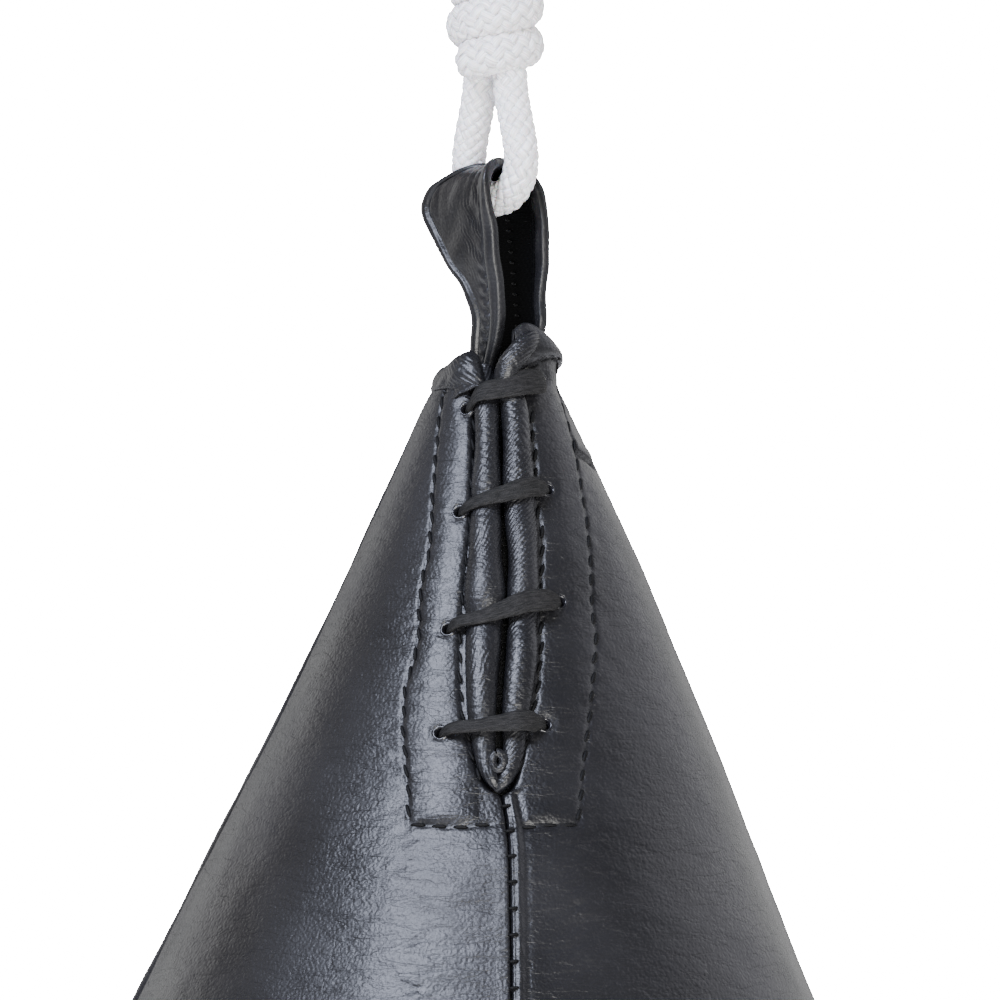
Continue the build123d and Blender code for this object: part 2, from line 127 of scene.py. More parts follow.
def with_lids(rings):
    """Rings of a tube with one more at each end, shrunk to its middle, so that the tube is closed."""
    first, last = [end.mean(1, keepdims=True) + 0 * end for end in (rings[:1], rings[-1:])]
    return np.concatenate([first, rings, last])


def side_by_side(first, second):
    """Two grids stretched to one shape and paired, as a UV map's two parts."""
    return np.stack(np.broadcast_arrays(first, second), -1)

# %% [markdown]
# Leather and rope are never quite even.  Small functions give the unevenness: a smooth curve
# through a few chosen values, a smooth step, a hump, and a soft random relief made of crossed sine
# waves.  A seed makes the relief the same in each run.

# %% Smooth curves and soft relief


def through(x, places, values):
    """Smooth curve through values at places: cubic pieces whose slopes come from neighbours."""
    places, values = np.asarray(places, float), np.asarray(values, float)
    slopes = np.gradient(values, places)
    piece = np.clip(np.searchsorted(places, x) - 1, 0, len(places) - 2)
    span = places[piece + 1] - places[piece]
    t = np.clip((x - places[piece]) / span, 0, 1)
    start, end = values[piece], values[piece + 1]
    lift_in = slopes[piece] * span * (t**3 - 2 * t**2 + t)
    lift_out = slopes[piece + 1] * span * (t**3 - t**2)
    return start * (2 * t**3 - 3 * t**2 + 1) + end * (3 * t**2 - 2 * t**3) + lift_in + lift_out


def step(x, low, high):
    """0 below low, 1 above high, and a smooth cubic rise between."""
    t = np.clip((x - low) / (high - low), 0, 1)
    return t * t * (3 - 2 * t)


def hump(x, middle, width):
    """Bell-shaped rise of height 1 at middle, gone at about twice the width."""
    return np.exp(-(((x - middle) / width) ** 2))


def ridges(turns):
    """Rounded ridges with sharp valleys, one a turn of half a circle: |sine| - 0.6."""
    return np.abs(np.sin(turns)) - 0.6


def relief(points, wavelength, seed, waves=14):
    """Soft random relief from about -1 to 1: the sum of sine waves in random directions."""
    rng = np.random.default_rng(seed)
    way = rng.normal(size=(waves, points.shape[-1]))
    way /= np.linalg.norm(way, axis=1)[:, None]
    stretch = rng.uniform(0.7, 1.4, waves)
    angle = (points @ way.T) * (2 * np.pi / wavelength) * stretch + rng.uniform(0, 6.28, waves)
    return np.sin(angle).sum(-1) / waves**0.5


def unit(vectors):
    """Vectors scaled to length 1."""
    return vectors / np.maximum(np.linalg.norm(vectors, axis=-1, keepdims=True), 1e-9)


def heading_of(line):
    """Direction of a line at each of its points, of length 1."""
    return unit(np.gradient(line, axis=0))


def circle(count):
    """Angles of a number of places spread evenly round a circle."""
    return np.linspace(0, 2 * np.pi, count, endpoint=False)


def run_along(points):
    """Distance along a line at each of its points: the running sum of the gaps between them."""
    gaps = np.linalg.norm(np.diff(points, axis=0), axis=1)
    return np.concatenate([[0], np.cumsum(gaps)])


print("a smooth step a quarter of the way up:", step(0.25, 0, 1))

# %% [markdown]
# ## Where the camera stands
# The bag is looked at nearly square on, three degrees to its left and level with it, through a long
# lens from far away, so its outline is almost free of perspective.

# %% Camera
VIEW_HEIGHT = -256.6
VIEW_SIDE = 1.1
VIEW_TURN = np.radians(3.0)
VIEW_DISTANCE = 2500.0
FIELD = 224.7
SENSOR = 36.0

camera_data = bpy.data.cameras.new("camera")
camera_data.sensor_width = SENSOR
camera_data.lens = SENSOR * VIEW_DISTANCE / FIELD
camera_data.clip_start = 0.1
camera_data.clip_end = 20.0
camera = put_in_scene("camera", camera_data)
camera.location = (
    (VIEW_SIDE * np.cos(VIEW_TURN) - VIEW_DISTANCE * np.sin(VIEW_TURN)) * MM,
    (-VIEW_SIDE * np.sin(VIEW_TURN) - VIEW_DISTANCE * np.cos(VIEW_TURN)) * MM,
    VIEW_HEIGHT * MM,
)
camera.rotation_euler = (np.pi / 2, 0, -VIEW_TURN)
bpy.context.scene.camera = camera
print("lens", round(camera_data.lens, 1), "mm for a field of", FIELD, "mm")

# %% [markdown]
# ## Finishes
# Each finish starts from its real material.  One function turns hex colours to linear light, one
# adds a node with its settings and links, one starts a material with its main shader, and one
# wires the last nodes to that shader.

# %% Colour, nodes and a plain start for each finish


def colour(hex_text):
    """Linear RGBA of an sRGB hex colour."""
    channels = np.array([int(hex_text[i : i + 2], 16) for i in (1, 3, 5)]) / 255
    linear = np.where(channels <= 0.04045, channels / 12.92, ((channels + 0.055) / 1.055) ** 2.4)
    return (*[float(c) for c in linear], 1.0)


def add_node(tree, kind, settings=None, links=None):
    """One shader node of a kind, with its settings and with links from other nodes.

    A setting is an attribute or an input's number; "stops" are a ramp's places and hex colours.
    A link comes from a node's first output, or from the output itself where one is given."""
    node = tree.nodes.new("ShaderNode" + kind)
    for key, value in (settings or {}).items():
        if key == "stops":
            for _ in value[2:]:
                node.color_ramp.elements.new(0.5)
            for element, (place, hex_text) in zip(node.color_ramp.elements, value):
                element.position, element.color = place, colour(hex_text)
        elif isinstance(key, str) and hasattr(node, key):
            setattr(node, key, value)
        else:
            node.inputs[key].default_value = value
    for socket, source in (links or {}).items():
        tree.links.new(getattr(source, "outputs", [source])[0], node.inputs[socket])
    return node


def start_finish(name, **shader):
    """New material with a Principled shader whose own sockets take the given numbers.

    Gives the material, that shader, and add_node for this material's own nodes."""
    material = bpy.data.materials.new(name)
    material.use_nodes = True
    shell = material.node_tree.nodes["Principled BSDF"]
    for socket, value in shader.items():
        shell.inputs[socket.replace("_", " ")].default_value = value
    return material, shell, partial(add_node, material.node_tree)


def wire(shell, **sources):
    """Link each node's first output to the shader input of the given name."""
    for socket, source in sources.items():
        shell.id_data.links.new(source.outputs[0], shell.inputs[socket.replace("_", " ")])


def per_mm(size):
    """Texture scale that gives a pattern one cell or wave per size in millimetres."""
    return 1 / (size * MM)


def from_to(low, high, new_low, new_high):
    """Numbers of a Map Range node's inputs: the range that comes in and the range that goes out."""
    return {1: low, 2: high, 3: new_low, 4: new_high}


print("middle grey in linear light:", round(colour("#808080")[0], 3))

# %% [markdown]
# The bag's leather is black full-grain cowhide, tanned, dyed through and given a thin satin finish.
# The eye sees a fine pebbled grain under a soft shine, hair-thin creases that mostly run level, and
# a slightly duller, greyer bloom where hands and ropes have rubbed it.  The grain is 0.8 mm across,
# a net of fine grooves divides the skin into small plates 1.5 mm across, and the creases lie 3 mm
# apart and run four times as far.  A picture of leather would be quicker, but it would stretch over
# the pear and show its edges; noise in the object's own space fits any shape.

# %% Black full-grain leather
GRAIN = 0.8
NETWORK = 1.5
CRINKLE = 1.6
CREASE = 3.2
CLOUD = 30.0


def full_grain_leather(name, dark, light, roughness, grain_depth, crease_depth):
    """Dyed leather: pebbles, a net of grooves, level crinkles, longer creases and an uneven shine."""
    material, shell, node = start_finish(name, IOR=1.4, Coat_Weight=0.08, Coat_Roughness=0.22)
    place = node("TexCoord").outputs["Object"]
    level = node("Mapping", {"Scale": (0.4, 0.4, 1.0)}, {"Vector": place})
    long_way = node("Mapping", {"Scale": (0.25, 0.25, 1.0)}, {"Vector": place})

    pebbles = {"feature": "SMOOTH_F1", "Scale": per_mm(GRAIN), "Smoothness": 0.6}
    cells = node("TexVoronoi", pebbles, {"Vector": place})

    # the net's straight edges are pushed about by up to 1.6 mm, so that they wander
    push = node("TexNoise", {"Scale": per_mm(3.0), "Detail": 2.0}, {"Vector": place})
    pushing = {"operation": "MULTIPLY_ADD", 1: (1.6 * MM,) * 3}
    pushed = node("VectorMath", pushing, {0: push.outputs["Color"], 2: place})
    plates = {"feature": "DISTANCE_TO_EDGE", "Scale": per_mm(NETWORK)}
    net = node("TexVoronoi", plates, {"Vector": pushed})
    groove = node("MapRange", from_to(0.0, 0.22, 0.0, 1.0), {0: net})

    crinkled = {"Scale": per_mm(CRINKLE), "Detail": 5.0, "Roughness": 0.65, "Distortion": 0.6}
    crinkle = node("TexNoise", crinkled, {"Vector": level})

    # a crease is a narrow valley along each place where the folded noise passes its middle value
    folded = {"Scale": per_mm(CREASE), "Detail": 4.0, "Roughness": 0.55, "Distortion": 0.4}
    folds = node("TexNoise", folded, {"Vector": long_way})
    offset = node("Math", {"operation": "SUBTRACT", 1: 0.5}, {0: folds})
    beside = node("Math", {"operation": "ABSOLUTE"}, {0: offset})
    soft_step = {"interpolation_type": "SMOOTHSTEP"} | from_to(0.0, 0.045, 0.0, 1.0)
    crease = node("MapRange", soft_step, {0: beside})

    cloud = node("TexNoise", {"Scale": per_mm(CLOUD), "Detail": 3.0}, {"Vector": place})
    shade = node("ValToRGB", {"stops": [(0.35, dark), (0.7, light)]}, {"Fac": cloud})
    shine = node("MapRange", from_to(0.3, 0.7, roughness - 0.04, roughness + 0.06), {0: cloud})
    normal = None
    for height, strength, depth in (
        (cells, 0.8, grain_depth),
        (groove, 0.7, crease_depth * 0.9),
        (crinkle, 0.8, crease_depth * 2.0),
        (folds, 0.8, crease_depth * 9.0),
        (crease, 0.8, crease_depth * 1.3),
    ):
        joined = {"Height": height} | ({"Normal": normal} if normal else {})
        normal = node("Bump", {"Strength": strength, "Distance": depth * MM}, joined)
    wire(shell, Base_Color=shade, Roughness=shine, Normal=normal)
    return material


bag_leather = full_grain_leather("black_full_grain_leather", "#0b0b0e", "#151518", 0.38, 0.10, 0.04)
strap_leather = full_grain_leather("black_strap_leather", "#09090b", "#111114", 0.42, 0.07, 0.025)
facing_leather = full_grain_leather("black_facing_split", "#080809", "#101012", 0.62, 0.1, 0.05)
burnished = full_grain_leather("burnished_hole_edge", "#101013", "#1c1c20", 0.16, 0.05, 0.02)
print("leathers:", bag_leather.name, strap_leather.name, facing_leather.name, burnished.name)

# %% [markdown]
# Rope, thread and lace are spun fibre.  A braided polypropylene rope shows the single filaments of
# each strand as fine lines along it, and its cut end is melted to a hard knob; a waxed thread is
# smooth and nearly black; a woven cotton lace is dull, with frayed lines along its length.  Hair by
# hair they would be heavy, so noise stretched along each piece's own UV map draws the lines.

# %% Rope, thread and lace


def fibre(name, dark, light, roughness, along, across, depth, sheen=0.0, **shader):
    """Fibres along the piece: noise stretched to along and across, in millimetres of its UV map."""
    shine = {"Roughness": roughness, "Sheen_Weight": sheen, "Sheen_Roughness": 0.5}
    material, shell, node = start_finish(name, **shine, **shader)
    place = node("UVMap", {"uv_map": "surface"})
    run = node("Mapping", {"Scale": (1 / along, 1 / across, 1.0)}, {"Vector": place})
    lines = node("TexNoise", {"Scale": 1.0, "Detail": 3.0}, {"Vector": run})
    shade = node("ValToRGB", {"stops": [(0.36, dark), (0.64, light)]}, {"Fac": lines})
    bump = node("Bump", {"Strength": 0.6, "Distance": depth * MM}, {"Height": lines})
    wire(shell, Base_Color=shade, Normal=bump)
    return material


glow = {"Subsurface_Weight": 0.15, "Subsurface_Scale": 0.0015}
rope_yarn = fibre("white_polypropylene_yarn", "#c6c0c3", "#fffcfd", 0.42, 6.0, 0.12, 0.05, 0.25, **glow)
rope_tip_melt = fibre("heat_sealed_rope_end", "#b9b4a4", "#d8d4c8", 0.3, 1.5, 1.5, 0.05)
wax = {"Specular_IOR_Level": 0.15}
waxed_thread = fibre("waxed_black_thread", "#020203", "#08080a", 0.65, 0.6, 0.15, 0.03, **wax)
cotton = {"Specular_IOR_Level": 0.25}
woven_lace = fibre("black_cotton_lace", "#010101", "#1c1b1b", 0.75, 2.2, 0.32, 0.5, **cotton)
print("fibres:", rope_yarn.name, rope_tip_melt.name, waxed_thread.name, woven_lace.name)

# %% [markdown]
# The strap's lining is woven nylon webbing: dull, black, with small ribs across.  Its two tones are
# set darker than black nylon is, as painted shade for the gap between the strap's legs.  The
# stuffing's canvas, cord and maize are hidden, so each needs only its colours and the size of its grain.

# %% Webbing, canvas and grain


def ribbed_webbing_painted_shade(rib_pitch, warp_pitch):
    """Nylon webbing: ribs across and warp lines along it, at pitches in millimetres, in painted shade."""
    material, shell, node = start_finish("black_nylon_webbing_painted_shade", Roughness=0.7, Specular_IOR_Level=0.03)
    place = node("UVMap", {"uv_map": "surface"})
    run = node("Mapping", {"Scale": (1 / rib_pitch, 1 / warp_pitch, 1.0)}, {"Vector": place})
    weave = node("TexChecker", {"Scale": 1.0}, {"Vector": run}).outputs["Fac"]
    ribs = node("TexWave", {"Scale": 0.5, "Distortion": 1.2}, {"Vector": run}).outputs["Fac"]
    # both tones are darker than the nylon's own black: painted shade for the shaded inside of the strap
    shade = node("ValToRGB", {"stops": [(0.0, "#010102"), (1.0, "#030304")]}, {"Fac": weave})
    bump = node("Bump", {"Strength": 0.5, "Distance": 0.1 * MM}, {"Height": ribs})
    wire(shell, Base_Color=shade, Normal=bump)
    return material


def speckled(name, dark, light, cell, depth, roughness):
    """Finish for hidden stuff: cells of two tones, their size and relief in millimetres."""
    material, shell, node = start_finish(name, Roughness=roughness)
    place = node("TexCoord").outputs["Object"]
    cells = node("TexVoronoi", {"Scale": per_mm(cell)}, {"Vector": place})
    shade = node("ValToRGB", {"stops": [(0.1, light), (0.7, dark)]}, {"Fac": cells})
    bump = node("Bump", {"Strength": 0.6, "Distance": depth * MM}, {"Height": cells})
    wire(shell, Base_Color=shade, Normal=bump)
    return material


webbing = ribbed_webbing_painted_shade(1.1, 0.9)
rope_heart = speckled("rope_heart_fibre", "#a9a6a0", "#c4c1bb", 0.6, 0.1, 0.8)
canvas = speckled("raw_cotton_canvas", "#a79a7c", "#c9bda0", 0.8, 0.15, 0.9)
maize = speckled("dry_maize_grain", "#9c6b1f", "#dcae4a", 7.0, 1.2, 0.55)
cotton_tie = speckled("twisted_cotton_cord", "#b5ab92", "#ded6c2", 0.9, 0.2, 0.85)
print("hidden stuff:", canvas.name, maize.name, cotton_tie.name, rope_heart.name)

# %% [markdown]
# Plate, swivel, hook and gate are steel, pressed or forged, then zinc-plated: pale grey, with fine
# drawn scratches and faint yellow and blue clouds.  The spring is blued.  These pieces keep the CAD
# model's shapes, and so does the hidden tie, so they only change their finish.

# %% Plated steel


def zinc_plated(name, tones, roughness):
    """Zinc-plated steel: three tones in clouds, and scratches that make it duller and rougher."""
    material, shell, node = start_finish(name, Metallic=1.0)
    place = node("TexCoord").outputs["Object"]
    drawn = node("Mapping", {"Scale": (1.0, 1.0, 0.08)}, {"Vector": place})
    scratch = node("TexNoise", {"Scale": per_mm(0.5), "Detail": 5.0}, {"Vector": drawn})
    cloud = node("TexNoise", {"Scale": per_mm(9.0), "Detail": 2.0}, {"Vector": place})
    shade = node("ValToRGB", {"stops": list(zip((0.3, 0.55, 0.75), tones))}, {"Fac": cloud})
    dull = node("MapRange", from_to(0.3, 0.7, roughness - 0.08, roughness + 0.1), {0: scratch})
    bump = node("Bump", {"Strength": 0.25, "Distance": 0.04 * MM}, {"Height": scratch})
    wire(shell, Base_Color=shade, Roughness=dull, Normal=bump)
    return material


plated_steel = zinc_plated("zinc_plated_pressed_steel", ("#b3b4b0", "#c3c4c6", "#bcc1c9"), 0.34)
hook_steel = zinc_plated("zinc_plated_forged_steel", ("#a9aaa8", "#babcbf", "#b2b7bf"), 0.28)
spring_steel = zinc_plated("blued_spring_steel", ("#5b5f68", "#6d7078", "#676b75"), 0.3)

CAD_FINISHES = {
    "ceiling_plate": plated_steel,
    "swivel_washer": plated_steel,
    "swivel_eye": hook_steel,
    "snap_hook": hook_steel,
    "hook_gate": hook_steel,
    "gate_pin": plated_steel,
    "gate_spring": spring_steel,
    "liner_bag": canvas,
    "liner_tie": cotton_tie,
    "maize_fill": maize,
}
for node_name, finish in CAD_FINISHES.items():
    node_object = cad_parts[node_name]
    node_object.data.materials.clear()
    node_object.data.materials.append(finish)
print("CAD pieces with a new finish:", len(CAD_FINISHES))

# %% [markdown]
# ## The rope
# One length of 8 mm braided rope makes everything above the bag.  It is a free cord, so it is set
# out first.  Each end is wound three times round the rope's own two legs to close a loop: the
# upper loop hangs on the snap hook and the lower one passes under the arch of the strap.  The
# straight parts and loops repeat the CAD model's route, and each knot's turns are a helix, because
# a simulated knot would end a little differently on each run.

# %% Route of the rope
CORE_RADIUS = 2.9
STRAP_AXIS = -188.9
TURN_RADIUS = 7.6
TURN_PITCH = 8.8
ALONG = np.array([0.529919, -0.848048, 0.0])
ACROSS = np.array([0.848048, 0.529919, 0.0])
UP = np.array([0.0, 0.0, 1.0])

upper_side = [(4.4, -87.3), (4.4, -83.3), (7.3, -76.3), (7.3, -68.276), (3.024, -64.0)]
lower_side = [(6.0, -161.1), (6.0, -165.4), (11.0, -179.8), (8.9, -185.5), (4.0, -188.9)]


def knot_turns(start, end, front_height):
    """Twelve route points a turn on a right-handed helix from one compass angle to another.

    Height is front_height at the front of one turn (-90 degrees) and climbs one pitch a turn."""
    angles = np.radians(np.arange(start, end + 1, 30))
    heights = front_height + TURN_PITCH * (angles + np.pi / 2) / (2 * np.pi)
    return np.stack([TURN_RADIUS * np.cos(angles), TURN_RADIUS * np.sin(angles), heights], -1)


def in_loop(side, heights):
    """Points at a distance from the middle in the lower loop's own plane, at the given heights."""
    return [ALONG * side + UP * z for z in heights]


upper_turns = knot_turns(-90, 770, -108.6)[::-1]
lower_turns = knot_turns(-150, 600, -156.6)[::-1]
upper_loop = [(0, -y, z) for y, z in upper_side] + [(0, y, z) for y, z in reversed(upper_side)]
lower_loop = [ALONG * s + UP * z for s, z in lower_side]
lower_loop += [-ALONG * s + UP * z for s, z in reversed(lower_side)]
rope_route = [
    # the tail's end, then the upper knot's turns, its loop and the standing line
    upper_turns[0] * (0.9, 0.9, 1) + (0, 0, 7.5),
    upper_turns[0] * (0.95, 0.95, 1) + (0, 0, 3.5),
    *upper_turns,
    (1.0, -3.2, -109.0), (0.2, -3.2, -98.0),
    *upper_loop,
    (0, 3.2, -98.0), (0, 3.2, -108.0), (0, 0.2, -116.5), (0, 0, -125.0), (0, 0, -132.0),
    # the lower knot's inner leg, its loop, the other leg, the turns and the other tail
    *in_loop(3.0, (-140.0, -150.0)),
    *lower_loop,
    *in_loop(-3.2, (-152.0, -143.0)),
    *in_loop(-3.4, (-137.6,)),
    *lower_turns,
    lower_turns[-1] * (0.62, 0.62, 1) + (1.0, 1.5, 0.6),
]
rope_route = np.array([tuple(place) for place in rope_route])
print("route points of the rope:", len(rope_route))

# %% [markdown]
# The route becomes the control points of a smooth curve, which is the rope's soft core.  A curve
# keeps the cord's one line, so its length can be measured and the braid can be laid along it.

# %% Core of the rope


def nurbs_curve(name, points, thickness):
    """Open quadratic NURBS curve whose control points are the given route, in millimetres."""
    data = bpy.data.curves.new(name, "CURVE")
    data.dimensions = "3D"
    data.resolution_u = 10
    data.bevel_depth = 1.0
    data.bevel_resolution = 4
    data.use_fill_caps = True
    spline = data.splines.new("NURBS")
    spline.points.add(len(points) - 1)
    four = np.concatenate([points * MM, np.ones((len(points), 1))], 1)
    spline.points.foreach_set("co", four.ravel())
    spline.points.foreach_set("radius", np.full(len(points), thickness * MM))
    spline.order_u = 3
    spline.use_endpoint_u = True
    return put_in_scene(name, data)


def line_of(curve):
    """Points of a curve's own smooth line, in millimetres, read from a copy with no thickness."""
    thin = put_in_scene("thin_line", curve.data.copy())
    thin.data.bevel_depth = 0.0
    bpy.context.view_layer.update()
    graph = bpy.context.evaluated_depsgraph_get()
    mesh = bpy.data.meshes.new_from_object(thin.evaluated_get(graph))
    points = np.zeros(len(mesh.vertices) * 3)
    mesh.vertices.foreach_get("co", points)
    bpy.data.meshes.remove(mesh)
    bpy.data.objects.remove(thin)
    return points.reshape(-1, 3) / MM


rope_core = nurbs_curve("rope_core", rope_route, CORE_RADIUS)
rope_line = line_of(rope_core)

# %% [markdown]
# A diamond braid is two families of strands wound opposite ways, each passing over one and under
# one of the other family.  Each strand is its own thin tube: its angle round the rope grows with
# the distance along it, and its distance from the middle rises and falls once for two crossings.
# A bump drawn on one smooth tube would be lighter, but the rope's outline would then be straight.

# %% Frames along a line, and one stretch of braid


def even_line(points, spacing):
    """The same line with points at one even spacing, and the distance along it at each."""
    along = run_along(points)
    distance = np.linspace(0, along[-1], int(along[-1] / spacing) + 1)
    return np.stack([np.interp(distance, along, points[:, i]) for i in range(3)], -1), distance


def carried_frames(line):
    """Tangent and two side directions at each point, carried along without twisting."""
    tangent = heading_of(line)
    side = np.zeros_like(line)
    side[0] = unit(np.cross(tangent[0], [0.3, 0.2, 1.0]))
    for i in range(1, len(line)):
        flat = side[i - 1] - tangent[i] * (side[i - 1] @ tangent[i])
        side[i] = flat / np.linalg.norm(flat)
    return tangent, side, np.cross(tangent, side)


BRAID_STRANDS = 8
CROSSING_GAP = 1.55
STRAND_MIDDLE = 3.2
STRAND_WAVE = 0.34
STRAND_HALF_WIDTH = 1.16
STRAND_HALF_THICKNESS = 0.55
STRAND_CORNERS = 6
# heights between which each knot's squeeze begins, and between which it ends
KNOT_FADES = [(-116.7, -110.7, -91, -86), (-163.1, -157.1, -139, -133)]


def pressed_flat(line):
    """Stretch of the rope's section: in a knot each turn is squeezed taller, and level with it thinner."""
    height = line[:, 2]
    in_knot = sum(step(height, a, b) * (1 - step(height, c, d)) for a, b, c, d in KNOT_FADES)
    in_knot = in_knot * step(np.hypot(line[:, 0], line[:, 1]), 5.0, 7.0)
    return np.stack([1 - 0.05 * in_knot, 1 - 0.05 * in_knot, 1 + 0.17 * in_knot], -1)


def braid(name, line, distance, frames):
    """Eight strands each way over one stretch of the rope, as one mesh with fibre lengths."""
    _, side, other = frames
    rate = np.pi / (BRAID_STRANDS * CROSSING_GAP)
    corner = circle(STRAND_CORNERS)
    points, quads, uv = [], [], []
    for family in (1, -1):
        wave = family * np.cos(BRAID_STRANDS * rate * distance)
        reach = STRAND_MIDDLE + STRAND_WAVE * wave
        for strand in range(BRAID_STRANDS):
            turn = 2 * np.pi * strand / BRAID_STRANDS + family * rate * distance
            out = side * np.cos(turn)[:, None] + other * np.sin(turn)[:, None]
            middle = line + out * reach[:, None]
            breadth = unit(np.cross(heading_of(middle), out))
            swell = np.sin(distance * 0.9 + strand * 2.4 * family) * np.sin(distance * 0.31 + strand)
            wide = STRAND_HALF_WIDTH * (1 + 0.10 * swell[:, None]) * np.cos(corner)
            ring = middle[:, None] + breadth[:, None] * wide[..., None]
            ring = ring + out[:, None] * (STRAND_HALF_THICKNESS * np.sin(corner))[:, None]
            ring = line[:, None] + (ring - line[:, None]) * pressed_flat(line)[:, None]
            quads.append(grid_faces(len(line), STRAND_CORNERS, True, first=sum(map(len, points))))
            points.append(ring.reshape(-1, 3))
            places = side_by_side((distance + strand * 7.3)[:, None], corner * 0.6)
            uv.append(places.reshape(-1, 2))
    points, quads, uv = (np.concatenate(parts) for parts in (points, quads, uv))
    return make_piece(name, points, quads, "rope", rope_yarn, uv)

# %% [markdown]
# The braid is one length, but as a single mesh it would be heavy to edit, so it is made as four
# stretches that meet end to end with the same turn of the strands.

# %% Braid the rope
BRAID_STEP = 0.3
BRAID_STRETCHES = 4
even, travelled = even_line(rope_line, BRAID_STEP)
frames_all = carried_frames(even)
cuts = np.linspace(0, 1, BRAID_STRETCHES + 1)
for number, (start, end) in enumerate(zip(cuts, cuts[1:])):
    part = slice(int(start * len(even)), min(int(end * len(even)) + 1, len(even)))
    local = tuple(direction[part] for direction in frames_all)
    braid(f"rope_braid_{number + 1}", even[part], travelled[part], local)

# %% [markdown]
# Each cut end of the rope is melted with a hot knife so that it can't fray, which leaves a small
# hard dome over the core.  A dome of shrinking circles is closed by itself and hides the core's end.

# %% Heat-sealed ends
DOME_RADIUS = 3.85
DOME_HEIGHT = 2.0
DOME_SINK = 1.0


def melted_end(name, tip, outward, side):
    """Dome over a rope's end: circles that shrink along a quarter circle, slightly uneven."""
    around, rise = circle(40), np.linspace(0, np.pi / 2, 12)
    third = np.cross(outward, side)
    ring = side * np.cos(around)[:, None] + third * np.sin(around)[:, None]
    uneven = 1 + 0.05 * np.sin(3 * around + 1) + 0.04 * np.sin(5 * around)
    shape = tip + ring[None] * (DOME_RADIUS * uneven * np.cos(rise)[:, None])[..., None]
    shape = shape + outward * (DOME_HEIGHT * np.sin(rise) - DOME_SINK)[:, None, None]
    faces, uv = grid_faces(12, 40, True), side_by_side(around * 3.0, rise[:, None] * 3.0)
    return make_piece(name, shape, faces, "rope", rope_tip_melt, uv, merge=2 * WELD)


tangents, sides, _ = frames_all
tips = [
    melted_end("rope_tip_upper", even[0], -tangents[0], sides[0]),
    melted_end("rope_tip_lower", even[-1], tangents[-1], sides[-1]),
]

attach(rope_core, "rope")
rope_core.data.materials.append(rope_heart)
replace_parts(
    rope_core, "rope_upper_loop", "rope_upper_knot", "rope_line", "rope_lower_knot", "rope_lower_loop"
)

# %% [markdown]
# ## The bag's shape
# A place on the leather is given as a saddler would chalk it: how far right of the front seam,
# measured round the bag, and how far down the meridian from the rim.  The outline is a short neck,
# a cone and a ball, as in the CAD model.  The grain has settled a little to the left, so the real
# bag bulges more on that side, and the two front gores are a little flatter than round, so they meet
# in a low ridge below the slot.  That lean and that ridge are added here.  Sewing flat cloth in a
# simulation would give such a form too, but not the same one each time.

# %% Meridian of the bag
RIM = -222.9
NECK_RADIUS, NECK_HEIGHT = 14.0, 8.0
CONE_ANGLE = np.radians(24.44)
BELLY_RADIUS = 108.0
CONE_LENGTH = (BELLY_RADIUS * np.cos(CONE_ANGLE) - NECK_RADIUS) / np.sin(CONE_ANGLE)
CONE_END = NECK_HEIGHT + CONE_LENGTH
MERIDIAN = CONE_END + BELLY_RADIUS * (CONE_ANGLE + np.pi / 2)
BELLY_DROP = NECK_HEIGHT + CONE_LENGTH * np.cos(CONE_ANGLE) + BELLY_RADIUS * np.sin(CONE_ANGLE)
# how far the bag leans to the left at each drop, and the ridge of its front: height and half width
LEAN_AT, LEAN = [0, 50, 90, 146, 240, 330, 347], [0, 0, 1.6, 5.0, 5.4, 1.0, 0]
RIDGE_HEIGHT, RIDGE_WIDTH = 2.0, 13.0
NECK_SQUEEZE = 1.5


def meridian(m):
    """Radius, drop below the rim, and outward and upward parts of the normal, m down the leather.

    Neck: radius constant.  Cone: radius grows by sin(cone angle) per length.  Ball: a circle."""
    m = np.asarray(m, float)
    on_cone = np.clip(m - NECK_HEIGHT, 0, CONE_LENGTH)
    latitude = CONE_ANGLE - np.clip(m - CONE_END, 0, None) / BELLY_RADIUS
    cone_radius = NECK_RADIUS + on_cone * np.sin(CONE_ANGLE)
    cone_drop = np.minimum(m, NECK_HEIGHT) + on_cone * np.cos(CONE_ANGLE)
    ball = m > CONE_END
    radius = np.where(ball, BELLY_RADIUS * np.cos(latitude), cone_radius)
    drop = np.where(ball, BELLY_DROP - BELLY_RADIUS * np.sin(latitude), cone_drop)
    tilt = np.where(ball, latitude, CONE_ANGLE * step(m, NECK_HEIGHT - 4, NECK_HEIGHT + 4))
    return np.maximum(radius, 1e-4), drop, np.cos(tilt), np.sin(tilt)


def down(drop):
    """Length down the meridian of a drop below the rim, on the neck and cone."""
    drop = np.asarray(drop, float)
    return np.where(drop < NECK_HEIGHT, drop, NECK_HEIGHT + (drop - NECK_HEIGHT) / np.cos(CONE_ANGLE))


def on_leather(arc, m, lift):
    """Points at an arc distance right of the front seam, m down the meridian, raised by lift.

    The front of the neck is squeezed flatter, the ridge fades sideways as exp(-distance / width),
    and the lean moves the leather level, most at the sides: lean times the sine of the turn."""
    arc, m, lift = np.broadcast_arrays(*[np.asarray(v, float) for v in (arc, m, lift)])
    radius, drop, outward, upward = meridian(m)
    turn = arc / radius
    lean = through(drop, LEAN_AT, LEAN)
    squeeze = NECK_SQUEEZE * np.clip(-np.sin(turn), 0, 1) * (1 - step(drop, 2, 15))
    ridge_here = step(drop, 98, 116) * (1 - step(drop, 200, 300))
    lift = lift + RIDGE_HEIGHT * np.exp(-np.abs(arc) / RIDGE_WIDTH) * ridge_here
    reach = radius - squeeze - lean * np.sin(turn) * np.minimum(1, radius / 30) + lift * outward
    return np.stack([reach * np.sin(turn), -reach * np.cos(turn), RIM - drop + lift * upward], -1)


def level_out(places):
    """Level direction from the bag's axis to each place."""
    return unit(places * (1, 1, 0))


print("meridian", round(float(MERIDIAN), 1), "mm from rim to the lowest point")

